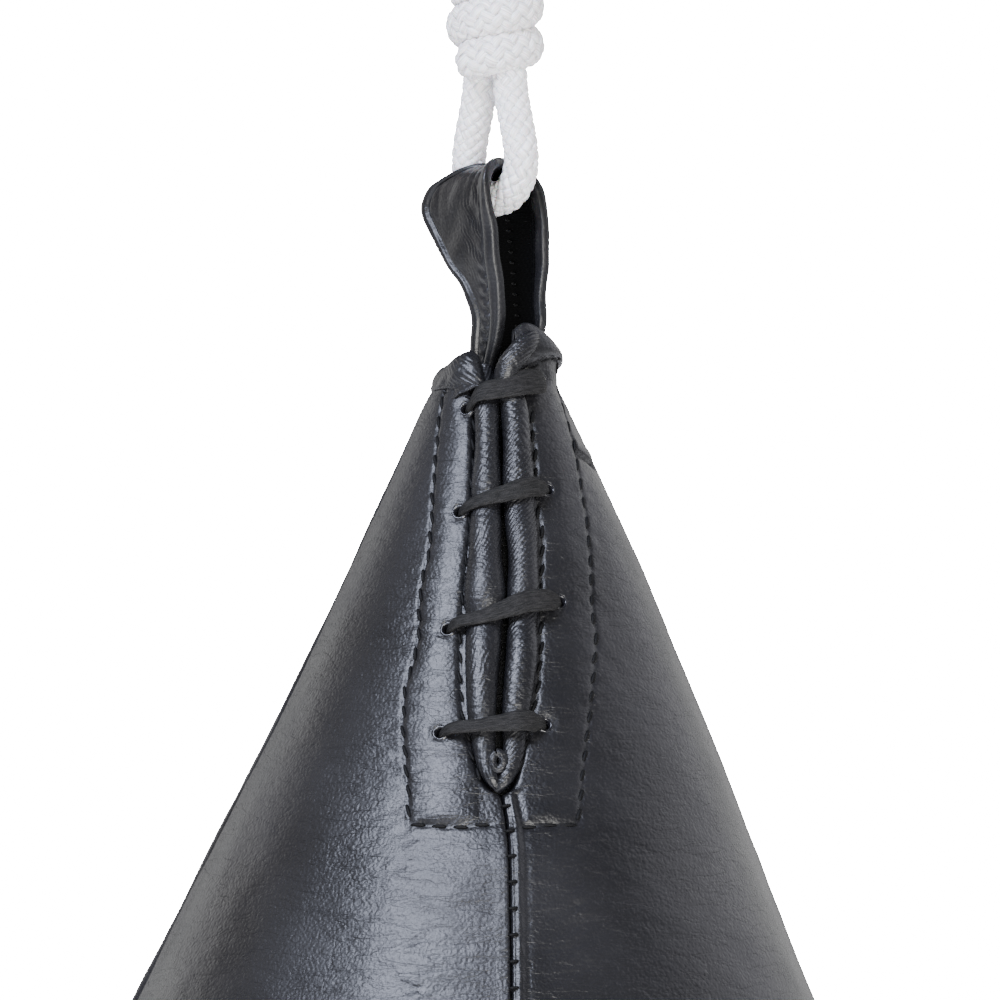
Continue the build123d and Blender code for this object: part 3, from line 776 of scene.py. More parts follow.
# %% [markdown]
# ## Four leather gores
# Each gore is a quarter of the pear.  The two front ones stop at the laced slot, where their edges
# dip under the rolled lips, and meet below it in a lapped seam whose right edge lies on top.  A
# facing behind each lip lifts the leather into a low band between two rows of stitching, and the
# stitches pull a groove with small puckers.  Each row of stitching is a smooth curve through a few
# places on the leather, given as (drop, distance from the seam).  The relief could be carved by
# hand in sculpt mode; written as sums of humps and valleys it can be measured and moved.

# %% Lines on the leather
SLOT_FOOT = 98.0
SLOT_HALF = 5.0
SLOT_ARCH = 18.0
FACING_FOOT = 105.3
STITCH_PITCH = 4.7
RUNG_PITCH = 5.7
SEAM_FORWARD = 0.11
SLOT_MIDDLE_AT = [0, 40, 62, 80, 94, 104, 125, 150, 200, 400]
SLOT_MIDDLE = [0, -0.2, -0.5, -1.5, -2.1, -0.6, -0.2, -0.5, -0.3, 0]
LEFT, RIGHT = -1, 1
OUTER_ROW = {
    LEFT: (
        [7, 22, 36, 44, 53, 68, 73, 88, 93, 105],
        [-13.8, -15.4, -16.2, -16.7, -18.8, -20.3, -22.0, -23.0, -22.5, -22.0],
    ),
    RIGHT: (
        [1, 11, 18, 31, 39, 44, 60, 65, 70, 80, 91, 105],
        [19.5, 19.3, 20.2, 20.8, 21.5, 21.6, 21.6, 22.0, 21.2, 19.7, 17.8, 15.8],
    ),
}
INNER_ROW = {
    LEFT: ([16, 22, 30, 39, 51, 69, 79, 87, 94], [-5.9, -6.0, -6.6, -7.1, -8.5, -10.1, -9.8, -8.6, -6.6]),
    RIGHT: ([14, 24, 37, 43, 51, 66, 77, 87, 94], [7.7, 8.1, 8.6, 9.3, 8.6, 8.2, 6.9, 4.4, 2.2]),
}
HOLES = {
    LEFT: [(-7.4, 13.4), (-9.4, 36.5), (-12.5, 62.4), (-14.6, 85.2)],
    RIGHT: [(11.4, 6.8), (10.9, 31.3), (12.9, 56.3), (8.6, 83.3)],
}


def slot_middle(drop):
    """Middle line of the slot, which wanders to the left near its foot, then the front seam."""
    return through(drop, SLOT_MIDDLE_AT, SLOT_MIDDLE)


def slot_half(drop):
    """Half width of the slot: nearly even, then a pointed arch down to its foot."""
    into_foot = np.clip((drop - (SLOT_FOOT - SLOT_ARCH)) / SLOT_ARCH, 0, 1)
    return SLOT_HALF * np.sqrt(1 - into_foot**2)


def row_at(rows, side, drop):
    """Distance of a row of stitching from the front seam at each drop."""
    return through(drop, *rows[side])


def side_seam(m, side):
    """Distance round the bag from the front to a side seam: a quarter turn, less on the left cone."""
    radius, drop, _, _ = meridian(m)
    forward = SEAM_FORWARD * step(drop, 25, 75) * (1 - step(drop, 110, 300)) * (side < 0)
    return radius * (np.pi / 2 - forward)


print("rows of stitching:", len(OUTER_ROW) + len(INNER_ROW), "lace holes:", sum(map(len, HOLES.values())))

# %% [markdown]
# Thread, seams and use leave their marks in the stuffed leather.  Each mark is a hump or a valley
# with a width and a depth in millimetres, laid along one of the lines above, and a gore's relief is
# their sum.  The deepest are the grooves of the stitching; the finest are hair-thin creases.

# %% Marks in the leather
BAND_HEIGHT = {LEFT: 0.62, RIGHT: 0.5}
ROW_GROOVE, FOOT_GROOVE, SIDE_GROOVE, BACK_GROOVE = 0.42, 0.45, 1.5, 1.4
CREASE_DEPTH, FOLD_DEPTH, DART_DEPTH, EDGE_DIP = 0.07, 0.17, 1.1, 2.6
FIRST_RUNG = 103.8


def pulled(distance, pitch=STITCH_PITCH):
    """Depth of a stitched groove: deepest at each stitch, 0.7 + 0.3 cos(one turn a pitch)."""
    return 0.7 + 0.3 * np.cos(2 * np.pi * distance / pitch)


def seam_lift(gap, depth):
    """A seam's narrow valley and the raised leather beside it, gap millimetres from the seam."""
    return -depth * hump(gap, 0, 0.8) + 0.25 * hump(gap, 2.4, 1.5)


def leather_lift(arc, m, side, points):
    """How far the leather of a front gore stands off its plain pear, in millimetres.

    Band: a sine hump between the rows.  Rows: narrow valleys, deeper at each stitch.  Then soft
    lumps, puckers beside the thread, thin wandering creases, folds below the slot on the left
    gore, a short dart on the right one, and the side seam."""
    drop = meridian(m)[1]
    inner, outer = row_at(INNER_ROW, side, drop), row_at(OUTER_ROW, side, drop)
    on_band = step(drop, 2, 12) * (1 - step(drop, FACING_FOOT - 2.5, FACING_FOOT))
    across = np.clip((arc - inner) / (outer - inner), 0, 1)
    lift = BAND_HEIGHT[side] * np.sin(np.pi * across) ** 0.6 * on_band

    inner_part = step(drop, 12, 18) * (1 - step(drop, 92, 96))
    valley = hump(arc, outer, 0.6) * step(drop, 1, 6) + 0.9 * hump(arc, inner, 0.6) * inner_part
    valley = valley * (1 - step(drop, FACING_FOOT - 1, FACING_FOOT + 2))
    foot_row = hump(drop, FACING_FOOT + 0.3 * np.sin(arc / 2.5), 0.6)
    foot_row = foot_row * step(arc, -23.5, -21.5) * (1 - step(arc, 15.5, 17.5))
    lift = lift - ROW_GROOVE * pulled(m) * valley - FOOT_GROOVE * pulled(arc) * foot_row

    lift = lift + 0.20 * relief(points, 42, 3) + 0.05 * relief(points, 14, 4) * step(drop, 0, 30)
    thread_pull = relief(points * (1, 1, 2.2), 6.0, 5) * np.exp(-np.abs(arc - outer) / 4.5)
    fine = relief(points * (0.5, 0.5, 1.0), 2.6, 6)
    lift = lift + 0.10 * thread_pull * step(drop, 4, 10) + 0.02 * fine
    crease = hump(relief(points * (0.6, 0.6, 1.6), 21, 7), 0, 0.04)
    lift = lift - CREASE_DEPTH * crease * step(relief(points, 45, 8), 0.2, 0.6)
    if side < 0:
        wrinkled = step(drop, 96, 116) * step(arc, -62, -12) * (1 - step(arc, -3, -0.5))
        folds = np.clip(0.5 - np.abs(relief(points * (0.25, 0.25, 1.0), 4.6, 9)), 0, 1)
        lift = lift - FOLD_DEPTH * folds * (0.6 + 0.5 * relief(points, 24, 10)) * wrinkled
    else:
        below_dart = drop - 23.0 - (arc - 20.5) * 0.32
        along_dart = step(arc, 19.5, 21.5) * (1 - step(arc, 29, 32))
        dart = 0.6 * hump(below_dart, -2.0, 1.6) - DART_DEPTH * hump(below_dart, 0, 0.6)
        lift = lift + dart * along_dart
    return lift + seam_lift(side_seam(m, side) - np.abs(arc), SIDE_GROOVE)


def edge_lift(gap, drop, side):
    """Lift beside the slot or front seam, gap millimetres from it.

    Above the slot's foot the edge sinks under the roll; below it the right gore's edge is a
    raised lap 2 mm wide and the left gore runs into the groove beside it."""
    at_slot = 1 - step(drop, SLOT_FOOT - 2, SLOT_FOOT + 2)
    if side > 0:
        tied = 0.85 + 0.15 * np.cos(2 * np.pi * (drop - FIRST_RUNG) / RUNG_PITCH)
        lap_at = [0, 0.3, 1.1, 2.1, 2.6, 3.3, 5, 7, 9, 400]
        seam = through(gap, lap_at, [-1.5, -0.5, 0.0, 0.45, 0.2, -0.15, 0, 0, 0, 0]) * tied
    else:
        seam = through(gap, [0, 0.3, 0.8, 1.6, 4, 6, 8, 400], [-1.5, -0.3, 0, 0.05, 0, 0, 0, 0])
    return -EDGE_DIP * hump(gap, 0, 1.0) * at_slot + seam * (1 - at_slot)


print("side seam's valley:", round(float(seam_lift(0, SIDE_GROOVE)), 2), "mm")

# %% [markdown]
# The gores are cut flat, sewn inside out and turned.  Here each is one grid of points: rows down
# the meridian, close together near the slot where the detail is, and columns across the gore.  Its
# top edge ends just inside the cuff, and the leather dips into each lace hole.

# %% The gores
GORE_TOP_AT = [0, 16, 34, 58, 84, 110, 180, 250, 275, 295, 308, 320, 332, 341, 349, 360]
GORE_TOP = [9, 5, 1.6, 0.4, 2.4, 3, 4.5, 7, 7.5, 6.5, 5, 4, 4.5, 6, 9, 9]
POLE_CALM = 40.0
HOLE_DEPTH, HOLE_DISH = 3.5, 0.3
rows_down = np.concatenate(
    [np.linspace(0, 126, 235), np.linspace(126.6, 170, 75), np.linspace(171.5, MERIDIAN, 150)]
)


def below_cuff(arc, m):
    """Meridian lengths with the gore's top edge lowered, all round, to just inside the cuff."""
    compass = np.degrees(arc / meridian(m)[0]) % 360
    return np.maximum(m, through(compass, GORE_TOP_AT, GORE_TOP))


def sew_gore(side, name, node, arc, m, lift):
    """Gore from its grid and lift, with the lift fading out towards the lowest point."""
    lift = lift * (1 - step(m, MERIDIAN - POLE_CALM, MERIDIAN))
    for hole_arc, hole_drop in HOLES[side]:
        away = np.hypot(arc - hole_arc, m - down(hole_drop))
        lift = lift - HOLE_DEPTH * (1 - step(away, 0.9, 1.4)) - HOLE_DISH * (1 - step(away, 1.3, 3.6))
    faces = grid_faces(*arc.shape)[:, ::side]
    uv = side_by_side(arc, m)
    shape = on_leather(arc, m, lift)
    piece = make_piece(name, shape, faces, "bag", bag_leather, uv, merge=WELD)
    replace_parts(piece, node)


def front_gore(side, name, node):
    """One front gore: columns from the slot to the side seam, closer together near the slot."""
    m = rows_down[:, None]
    radius, drop, _, _ = meridian(m)
    start = slot_middle(drop) + side * slot_half(drop)
    start = np.where(np.abs(start) < radius * 1.4, start, 0)
    arc = start + (side * side_seam(m, side) - start) * np.linspace(0, 1, 150)[None, :] ** 1.35
    gap = np.abs(arc - start)
    m = below_cuff(arc, m)
    lift = leather_lift(arc, m, side, on_leather(arc, m, 0)) + edge_lift(gap, drop, side)
    sew_gore(side, name, node, arc, m, lift)


def back_gore(side, name, node):
    """One back gore: from its side seam to the plain back seam, both of them shallow valleys."""
    m = rows_down[::2, None]
    radius = meridian(m)[0]
    start = side_seam(m, side)
    arc = side * (start + (radius * np.pi - start) * np.linspace(0, 1, 130)[None, :])
    m = below_cuff(arc, m)
    plain = on_leather(arc, m, 0)
    lift = 0.22 * relief(plain, 42, 13) + 0.05 * relief(plain, 14, 14) + 0.02 * relief(plain, 3, 15)
    lift = lift + seam_lift(np.abs(arc) - start, SIDE_GROOVE)
    lift = lift + seam_lift(radius * np.pi - np.abs(arc), BACK_GROOVE)
    sew_gore(side, name, node, arc, m, lift)


front_gore(LEFT, "gore_front_left", "panel_front_left")
front_gore(RIGHT, "gore_front_right", "panel_front_right")
back_gore(RIGHT, "gore_back_right", "panel_back_right")
back_gore(LEFT, "gore_back_left", "panel_back_left")

# %% [markdown]
# ## Rolled lips of the slot
# The slot's edge is leather rolled round a soft core, so that the lace can pull on it without
# tearing.  Each lip fills the space from its row of stitching to the slot's closed middle.  It
# swells between the lace's crossings and is pinched under them.  The spare skin gathers into fine
# wrinkles with rounded tops and sharp valleys, slanting on the right lip and upright on the left.
# A lip is a tube whose width and height change from place to place, so that each pinch stays where
# the lace crosses; a cloth simulation would move them.

# %% Lips of the slot
LACE_CROSSINGS = 23.2
FIRST_CROSSING = -1.0
LAST_SWELLING = 68.6
SWELLING = 0.24
WRINKLE_PITCH = 0.85


def smooth_line(points, count):
    """Smooth line through given points, spaced by their distances apart."""
    points = np.asarray(points, float)
    along = run_along(points)
    t = np.linspace(0, along[-1], count)
    return np.stack([through(t, along, points[:, i]) for i in range(points.shape[1])], -1), t


def soft_tube(name, line, t, outward, radius_across, radius_out, wrinkle):
    """Closed leather tube of changing oval section, with wrinkles: each ring lies across the line."""
    tangent = heading_of(line)
    breadth = unit(np.cross(tangent, outward))
    out = np.cross(breadth, tangent)
    corner = circle(64)
    girth = corner[None, :] * (radius_across + radius_out)[:, None] / 2
    rise = wrinkle(t[:, None], girth, corner[None, :])
    ring = line[:, None] + breadth[:, None] * ((radius_across[:, None] + rise) * np.cos(corner))[..., None]
    ring = ring + out[:, None] * ((radius_out[:, None] + rise) * np.sin(corner))[..., None]
    uv = side_by_side(t[:, None], girth)
    ring, uv = with_lids(ring), np.concatenate([uv[:1], uv, uv[-1:]])
    faces = grid_faces(*ring.shape[:2], True)
    return make_piece(name, ring, faces, "bag", bag_leather, uv, merge=WELD)


def gathered(low_slant, depth):
    """Wrinkle height: rounded ridges a pitch apart that slant across the girth and fade in and out.

    They run along the lip at its upper end, cross it further down, and calm towards its foot."""

    def rise(t, girth, corner):
        """Height at a distance along the lip, a distance round it, and a corner of its section."""
        slant = low_slant + (1.4 - low_slant) * (1 - step(t, 12, 18))
        bent = 0.5 * np.sin(t / 2.9 + girth * 0.4) + 0.35 * np.sin(t / 1.3 - girth)
        down_way = np.pi * (t * np.cos(slant) + girth * np.sin(slant)) / WRINKLE_PITCH
        cross_way = np.pi * (girth * np.cos(slant) - t * np.sin(slant)) / (WRINKLE_PITCH * 2.2)
        fade = 0.5 + 0.3 * np.sin(t / 7.3 + 1.7 * np.sin(t / 17.0)) + 0.2 * np.sin(t / 3.1 + girth * 1.3)
        calm = 1 - 0.6 * step(t, 48, 66) + 0.35 * hump(t, 74, 5)
        both = fade * ridges(down_way + bent) + 0.35 * (1 - fade) * ridges(cross_way + bent)
        return depth * calm * both + 0.12 * np.sin(t / 4.3) * np.sin(corner)

    return rise


def lip(name, places, slant, rows, depth):
    """One lip through places of drop, distance from the seam, lift, half width and height.

    It swells between two turns of the lace: swelling = 1 + 0.24 sin^2(pi (drop + 1) / 23.2)."""
    drop, arc, lift, half, height = np.array(places, float).T
    points = on_leather(arc, down(drop), lift)
    line, t = smooth_line(points, rows)
    at = run_along(points)
    outward = level_out(line) + UP * 0.42
    swelling_drop = np.interp(t, at, drop).clip(FIRST_CROSSING, LAST_SWELLING) - FIRST_CROSSING
    swelling = 1 + SWELLING * np.sin(np.pi * swelling_drop / LACE_CROSSINGS) ** 2
    across, out = through(t, at, half) * swelling, through(t, at, height) * swelling
    return soft_tube(name, line, t, outward, across, out, gathered(slant, depth))


print("turns of the lace cross a lip every", LACE_CROSSINGS, "mm")

# %% [markdown]
# The two lips aren't mirror images.  The right one begins outside the neck, curls over the cuff and
# lies close to the slot's middle; the left one begins lower and stands further out.  Both end in
# the slot's pointed foot.

# %% Right lip, left lip and the tongue's curl
# each place: drop, distance right of the front seam, lift, half width, height
right_places = [
    (-2.2, 11.0, -3.0, 1.4, 1.4), (-2.5, 8.9, -1.2, 1.9, 1.8), (-1.2, 6.3, 0.5, 2.3, 2.2),
    (1.0, 4.0, 1.2, 2.4, 2.3), (3.8, 2.1, 1.5, 2.4, 2.3), (6.8, 1.4, 1.6, 2.3, 2.2),
    (9.6, 2.1, 1.2, 2.3, 2.2), (13, 3.1, 0.9, 2.5, 2.2), (18, 3.5, 1.0, 2.9, 2.6),
    (23, 3.6, 1.1, 3.1, 2.7), (30, 3.8, 0.9, 3.0, 2.5), (35, 3.9, 0.5, 2.7, 2.1),
    (42, 4.3, 1.0, 3.3, 2.7), (50, 4.4, 1.0, 3.1, 2.7), (56, 4.2, 0.7, 2.9, 2.4),
    (60, 4.0, 0.4, 2.7, 2.1), (67, 3.8, 1.0, 3.5, 2.8), (74, 3.0, 0.9, 3.4, 2.6),
    (80, 2.2, 0.6, 3.1, 2.3), (84.5, 1.7, 0.2, 2.7, 1.9), (88.5, 1.5, 0.1, 2.4, 1.7),
    (92.5, 0.8, 0.1, 1.9, 1.5), (95.6, -0.9, -0.1, 1.5, 1.3), (97.2, -2.6, -1.3, 1.1, 1.0),
]
left_places = [
    (4.0, -4.2, -3.4, 1.6, 1.6), (7.5, -3.4, -1.6, 2.0, 1.9), (12.5, -2.7, 0.4, 2.2, 2.0),
    (18, -2.7, 0.9, 2.5, 2.4), (23, -2.8, 1.0, 2.7, 2.5), (30, -3.1, 0.8, 2.8, 2.5),
    (35, -3.3, 0.4, 2.6, 2.1), (42, -3.6, 1.0, 3.4, 2.7), (50, -3.9, 1.2, 3.8, 3.0),
    (56, -4.1, 0.9, 3.7, 2.7), (60.5, -4.3, 0.4, 3.4, 2.2), (67, -4.7, 1.0, 3.9, 2.8),
    (74, -5.1, 0.9, 3.6, 2.7), (80, -5.3, 0.6, 3.3, 2.4), (84.5, -5.2, 0.2, 2.9, 2.0),
    (88.5, -5.0, 0.1, 2.5, 1.7), (92.5, -4.5, 0.1, 2.0, 1.5), (95.4, -3.2, 0.0, 1.5, 1.3),
    (96.8, -1.6, -0.9, 1.2, 1.0),
]
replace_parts(lip("lip_right", right_places, 0.9, 1000, 0.42), "opening_roll_right")
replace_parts(lip("lip_left", left_places, 1.25, 860, 0.34), "opening_roll_left")

# the tongue's folded end shows at the slot's foot as a small curled loop
curl_turn = np.linspace(np.radians(-250), np.radians(100), 26)
sines = zip(np.sin(curl_turn), np.cos(curl_turn))
curl = [(91.6 - 1.6 * s, -2.1 + 1.2 * c, 1.0 + 0.4 * s, 1.05, 0.95) for s, c in sines]
lip("tongue_curl", curl, 1.0, 160, 0.1)

# %% [markdown]
# ## Stuffing and linings
# The bag is filled with dry maize in a canvas inner bag.  Neither shows, but both follow the
# leaning leather, so they are made from the same meridian, a few millimetres further in.  Behind
# the slot lies a loose tongue, and behind each row of lace holes a facing of split leather.  Single
# grains would be thousands of pieces that nobody sees, so the maize is one solid form.

# %% Inner bag, grain, facings and tongue
LINER_DENT = 9.0
LINING_FOOT = 104.0


def inner_pear(name, inset, top, finish, node):
    """Closed pear an inset inside the leather, from its top drop to its lowest point.

    Behind the slot it is dented, to leave room for the tongue and the facings."""
    m = np.linspace(down(top), MERIDIAN, 150)[:, None]
    radius = meridian(m)[0]
    arc = radius * circle(96)[None, :]
    from_front = (arc + radius * np.pi) % (2 * np.pi * radius) - radius * np.pi
    dent = hump(from_front, 0, 26) * step(radius, 20, 40) * (1 - step(m, 112, 124))
    shape = with_lids(on_leather(arc, m, -inset - LINER_DENT * dent))[:-1]
    faces = grid_faces(*shape.shape[:2], True)
    piece = make_piece(name, shape, faces, "bag", finish, merge=WELD)
    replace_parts(piece, node)
    return piece


def leather_sheet(name, node, low_arc, high_arc, top, inset, thickness):
    """Slab that follows the leather, between two arc distances given at its top and its foot."""
    share = np.linspace(0, 1, 60)[:, None]
    m = down(top + (LINING_FOOT - top) * share)
    low = low_arc[0] + (low_arc[1] - low_arc[0]) * share
    high = high_arc[0] + (high_arc[1] - high_arc[0]) * share
    arc = low + (high - low) * np.linspace(0, 1, 26)[None, :]
    front, back = on_leather(arc, m, -inset), on_leather(arc[:, ::-1], m, -inset - thickness)
    ring = with_lids(np.concatenate([front, back], 1))
    rows, columns = ring.shape[:2]
    faces = grid_faces(rows, columns, True)
    uv = side_by_side(np.arange(rows)[:, None] * 2, np.arange(columns))
    piece = make_piece(name, ring, faces, "bag", facing_leather, uv, merge=WELD)
    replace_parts(piece, node)


canvas_bag = inner_pear("canvas_inner_bag", 4.2, 52, canvas, "liner_bag")
inner_pear("maize_filling", 5.4, 54, maize, "maize_fill")
leather_sheet("slot_facing_left", "facing_left", (-11.5, -21.0), (-6.9, -6.9), 10, 2.7, 1.9)
leather_sheet("slot_facing_right", "facing_right", (6.9, 6.9), (11.5, 20.0), 10, 2.7, 1.9)
leather_sheet("slot_tongue", "tongue", (-9.0, -13.0), (9.0, 11.0), 34, 7.4, 1.2)

# %% [markdown]
# ## Stitching
# The rows are sewn with waxed black thread, one stitch every 4.7 mm.  The thread dives into the
# leather at each hole, so a stitch is a short bead, thick in the middle, a little off the row's
# line by turns.  The front seam below the slot is closed by a ladder of single stitches 6 mm apart.
# Beads of their own catch the light as real thread does, which a bump in the leather wouldn't.

# %% One row of beads
STITCH_ROWS, STITCH_CORNERS = 7, 8
# length, width and height of a stitch
ROW_STITCH = (3.8, 0.85, 0.7)
LADDER_STITCH = (2.7, 0.75, 0.8)


def stitches(name, places, headings, outward, size, body="bag"):
    """Beads of thread at places: each an ellipsoid whose ends curl down into the leather."""
    length, width, height = size
    ring, rise = circle(STITCH_CORNERS), np.linspace(-1, 1, STITCH_ROWS)
    girth = np.sqrt(np.clip(1 - rise**2, 0, 1)) ** 0.7
    breadth = unit(np.cross(headings, outward))
    out = unit(np.cross(breadth, headings))
    sink = -0.35 * rise[:, None] ** 4
    shape = places[:, None, None] + headings[:, None, None] * (rise * length / 2)[None, :, None, None]
    for way, reach in (
        (breadth, girth[:, None] * np.cos(ring) * width / 2),
        (out, girth[:, None] * np.sin(ring) * height / 2 + sink),
    ):
        shape = shape + way[:, None, None] * reach[None, ..., None]
    first = np.arange(len(places)) * STITCH_ROWS * STITCH_CORNERS
    quads = grid_faces(STITCH_ROWS, STITCH_CORNERS, True)[None] + first[:, None, None]
    uv = np.broadcast_to(side_by_side(rise[:, None] * length, ring[None] * 0.3), (*shape.shape[:3], 2))
    return make_piece(name, shape, quads.reshape(-1, 4), body, waxed_thread, uv, merge=WELD)


print("points in a stitch:", STITCH_ROWS * STITCH_CORNERS)

# %% [markdown]
# Two rows run down each side of the slot and one joins them below it.  The stitches sit on the
# leather as it was made above, with its grooves, so none floats or sinks out of sight.

# %% Rows beside the slot and the ladder of the front seam
# how far a stitch sits off its row by turns, how far it slants, and how high it lies
ZIGZAG, SLANT, BEAD_RISE = 0.14, 0.18, 0.2


def lift_at(arc, m, side):
    """How far the front leather stands off the plain pear at a place."""
    return leather_lift(arc, m, side, on_leather(arc, m, 0))


def row_stitches(name, rows, side, top, foot):
    """Stitches along one curved row: places one pitch apart and the row's direction at each."""
    m = np.arange(down(top), down(foot), STITCH_PITCH)
    zigzag = ZIGZAG * (-1) ** np.arange(len(m))
    arc = row_at(rows, side, meridian(m)[1]) + zigzag
    lower = m + 0.8
    ahead = row_at(rows, side, meridian(lower)[1]) + zigzag - SLANT * side
    here = on_leather(arc, m, lift_at(arc, m, side) + BEAD_RISE)
    heading = unit(on_leather(ahead, lower, 0) - on_leather(arc, m, 0))
    stitches(name, here, heading, level_out(here) + UP * 0.45, ROW_STITCH)


row_stitches("stitch_row_outer_left", OUTER_ROW, LEFT, 12, FACING_FOOT)
row_stitches("stitch_row_outer_right", OUTER_ROW, RIGHT, 4, FACING_FOOT)
row_stitches("stitch_row_inner_left", INNER_ROW, LEFT, 17, 95)
row_stitches("stitch_row_inner_right", INNER_ROW, RIGHT, 15, 95)

# the row that joins them below the slot
foot_arc = np.concatenate([np.arange(-20.0, -2.5, STITCH_PITCH), np.arange(4.5, 15.5, STITCH_PITCH)])
foot_m = down(FACING_FOOT + 0.3 * np.sin(foot_arc / 2.5))
foot_lift = np.where(foot_arc < 0, lift_at(foot_arc, foot_m, LEFT), lift_at(foot_arc, foot_m, RIGHT))
foot_here = on_leather(foot_arc, foot_m, foot_lift + BEAD_RISE)
foot_heading = unit(on_leather(foot_arc + 0.5, foot_m, 0) - on_leather(foot_arc, foot_m, 0))
stitches("stitch_row_foot", foot_here, foot_heading, level_out(foot_here) + UP * 0.4, ROW_STITCH)

# the ladder that closes the front seam
rung_drop = np.arange(101.0, 300.0, RUNG_PITCH)
rung_m = np.where(rung_drop < 190, down(rung_drop), rung_drop * 1.1)
rung_arc = slot_middle(rung_drop) + 0.55
rung_here = on_leather(rung_arc, rung_m, 0.32)
rung_heading = unit(on_leather(rung_arc + 0.5, rung_m - 0.1, 0) - on_leather(rung_arc, rung_m, 0))
stitches("seam_ladder", rung_here, rung_heading, level_out(rung_here) + UP * 0.4, LADDER_STITCH)

# %% [markdown]
# ## Lace holes
# The holes are punched straight through and burnished, with no metal eyelet.  The tool leaves a
# slightly raised, polished edge and a short dark tunnel.  Each edge is a profile turned round the
# hole, as a drawing of it would be, which keeps the rim crisp where the leather's grid is coarse.

# %% Polished edges of the lace holes
# distance from the hole's middle, and height over the leather
edge_profile = np.array(
    [(2.1, -0.3), (1.85, 0.0), (1.6, 0.22), (1.3, 0.16), (1.12, -0.2), (1.08, -2.0), (1.08, -4.5)]
)


def hole_edge(name, arc, drop, side):
    """Turned profile round a hole, square to the leather, with the leather's own rise there."""
    m = down(drop)
    centre = on_leather(arc, m, lift_at(arc, m, side) - 0.3)
    normal = unit(on_leather(arc, m, 1.0) - on_leather(arc, m, 0.0))
    across = unit(np.cross(UP, normal))
    upward = np.cross(normal, across)
    around = circle(32)
    ring = across * np.cos(around)[:, None] + upward * np.sin(around)[:, None]
    radius, height = edge_profile[:, 0][:, None, None], edge_profile[:, 1][:, None, None]
    shape = centre + ring[None] * radius + normal * height
    faces = grid_faces(*shape.shape[:2], True)[:, ::-1]
    make_piece(name, shape, faces, "bag", burnished)


for side, side_name in ((LEFT, "left"), (RIGHT, "right")):
    for number, (arc, drop) in enumerate(HOLES[side]):
        hole_edge(f"hole_edge_{side_name}_{number + 1}", arc, drop, side)

# %% [markdown]
# ## Lace
# A flat woven cotton lace, threaded from hole to hole and pulled tight.  It comes out of each left
# hole twisted nearly on edge, flattens as it climbs to the right over both lips, and dives into the
# right hole.  It is one ribbon from its first knot inside to its last, held by the leather all the
# way, so it isn't a free cord.  Its line, width and thickness are smooth curves through places
# given beside each pair of holes, so that the four crossings differ as hand lacing does.

# %% Lace
LACE_IN = -6.5
LACE_ROWS, LACE_CORNERS = 1100, 28
lace_widths = [6.0, 4.8, 5.2, 5.0]
lace_places = [(-3.0, 23.0, LACE_IN - 1.0, 2.2, 1.4)]
for (left_arc, left_drop), (right_arc, right_drop), wide in zip(HOLES[LEFT], HOLES[RIGHT], lace_widths):
    climb = left_drop - right_drop
    middle = 0.5 * (left_drop + right_drop)
    lace_places += [
        # arc, drop, lift, width, thickness
        (left_arc + 0.4, left_drop + 0.2, LACE_IN, 2.2, 1.4),
        (left_arc, left_drop, -1.2, 2.0, 1.5),
        (left_arc + 1.7, left_drop - 0.1 * climb, 1.5, 2.7, 1.3),
        (-4.0, middle + 0.24 * climb, 3.7, 0.66 * wide, 1.0),
        (0.4, middle, 3.9, 0.86 * wide, 0.9),
        (4.2, middle - 0.24 * climb, 3.9, wide, 0.9),
        (right_arc - 2.6, right_drop + 0.08 * climb, 2.3, 0.92 * wide, 1.1),
        (right_arc - 0.5, right_drop - 0.1, 0.1, 0.5 * wide, 1.4),
        (right_arc - 0.1, right_drop, -1.6, 2.2, 1.6),
        (right_arc - 0.3, right_drop + 0.3, LACE_IN, 2.2, 1.4),
    ]
lace_arc, lace_drop, lace_lift, lace_wide, lace_thick = np.array(lace_places).T
lace_arc = lace_arc + 0.6 * slot_middle(lace_drop) * (np.abs(lace_arc) < 6)
lace_points = on_leather(lace_arc, down(lace_drop), lace_lift)
lace_line, lace_t = smooth_line(lace_points, LACE_ROWS)
lace_at = run_along(lace_points)

# the ribbon's width lies down the slope, square to its run
lace_tangent = heading_of(lace_line)
lace_normal = level_out(lace_line) * np.cos(CONE_ANGLE) + UP * np.sin(CONE_ANGLE)
down_slope = unit(np.cross(lace_normal, np.cross(lace_normal, UP)))
lace_breadth = unit(down_slope - lace_tangent * (down_slope * lace_tangent).sum(-1, keepdims=True))
lace_out = np.cross(lace_tangent, lace_breadth)

# its section: an oval with full ends, a slightly frayed edge and a few soft ribs
half_wide = through(lace_t, lace_at, lace_wide / 2)[:, None]
half_thick = through(lace_t, lace_at, lace_thick / 2)[:, None]
corner = circle(LACE_CORNERS)[None, :]
flat_x = np.sign(np.cos(corner)) * np.abs(np.cos(corner)) ** 0.7
run = lace_t[:, None]
frayed = 1 + 0.02 * np.sin(run * 1.3 + np.sin(corner)) + 0.015 * np.sin(run * 5.7 + corner * 2)
ribbed = 1 + 0.075 * np.cos(corner * 6)
lace_shape = lace_line[:, None] + lace_breadth[:, None] * (half_wide * flat_x * frayed)[..., None]
lace_shape = lace_shape + lace_out[:, None] * (half_thick * np.sin(corner) * ribbed)[..., None]
lace_uv, lace_faces = side_by_side(run, flat_x * half_wide), grid_faces(LACE_ROWS, LACE_CORNERS, True)
lace_ribbon = make_piece("lace_ribbon", lace_shape, lace_faces, "bag", woven_lace, lace_uv)
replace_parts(lace_ribbon, "lace")

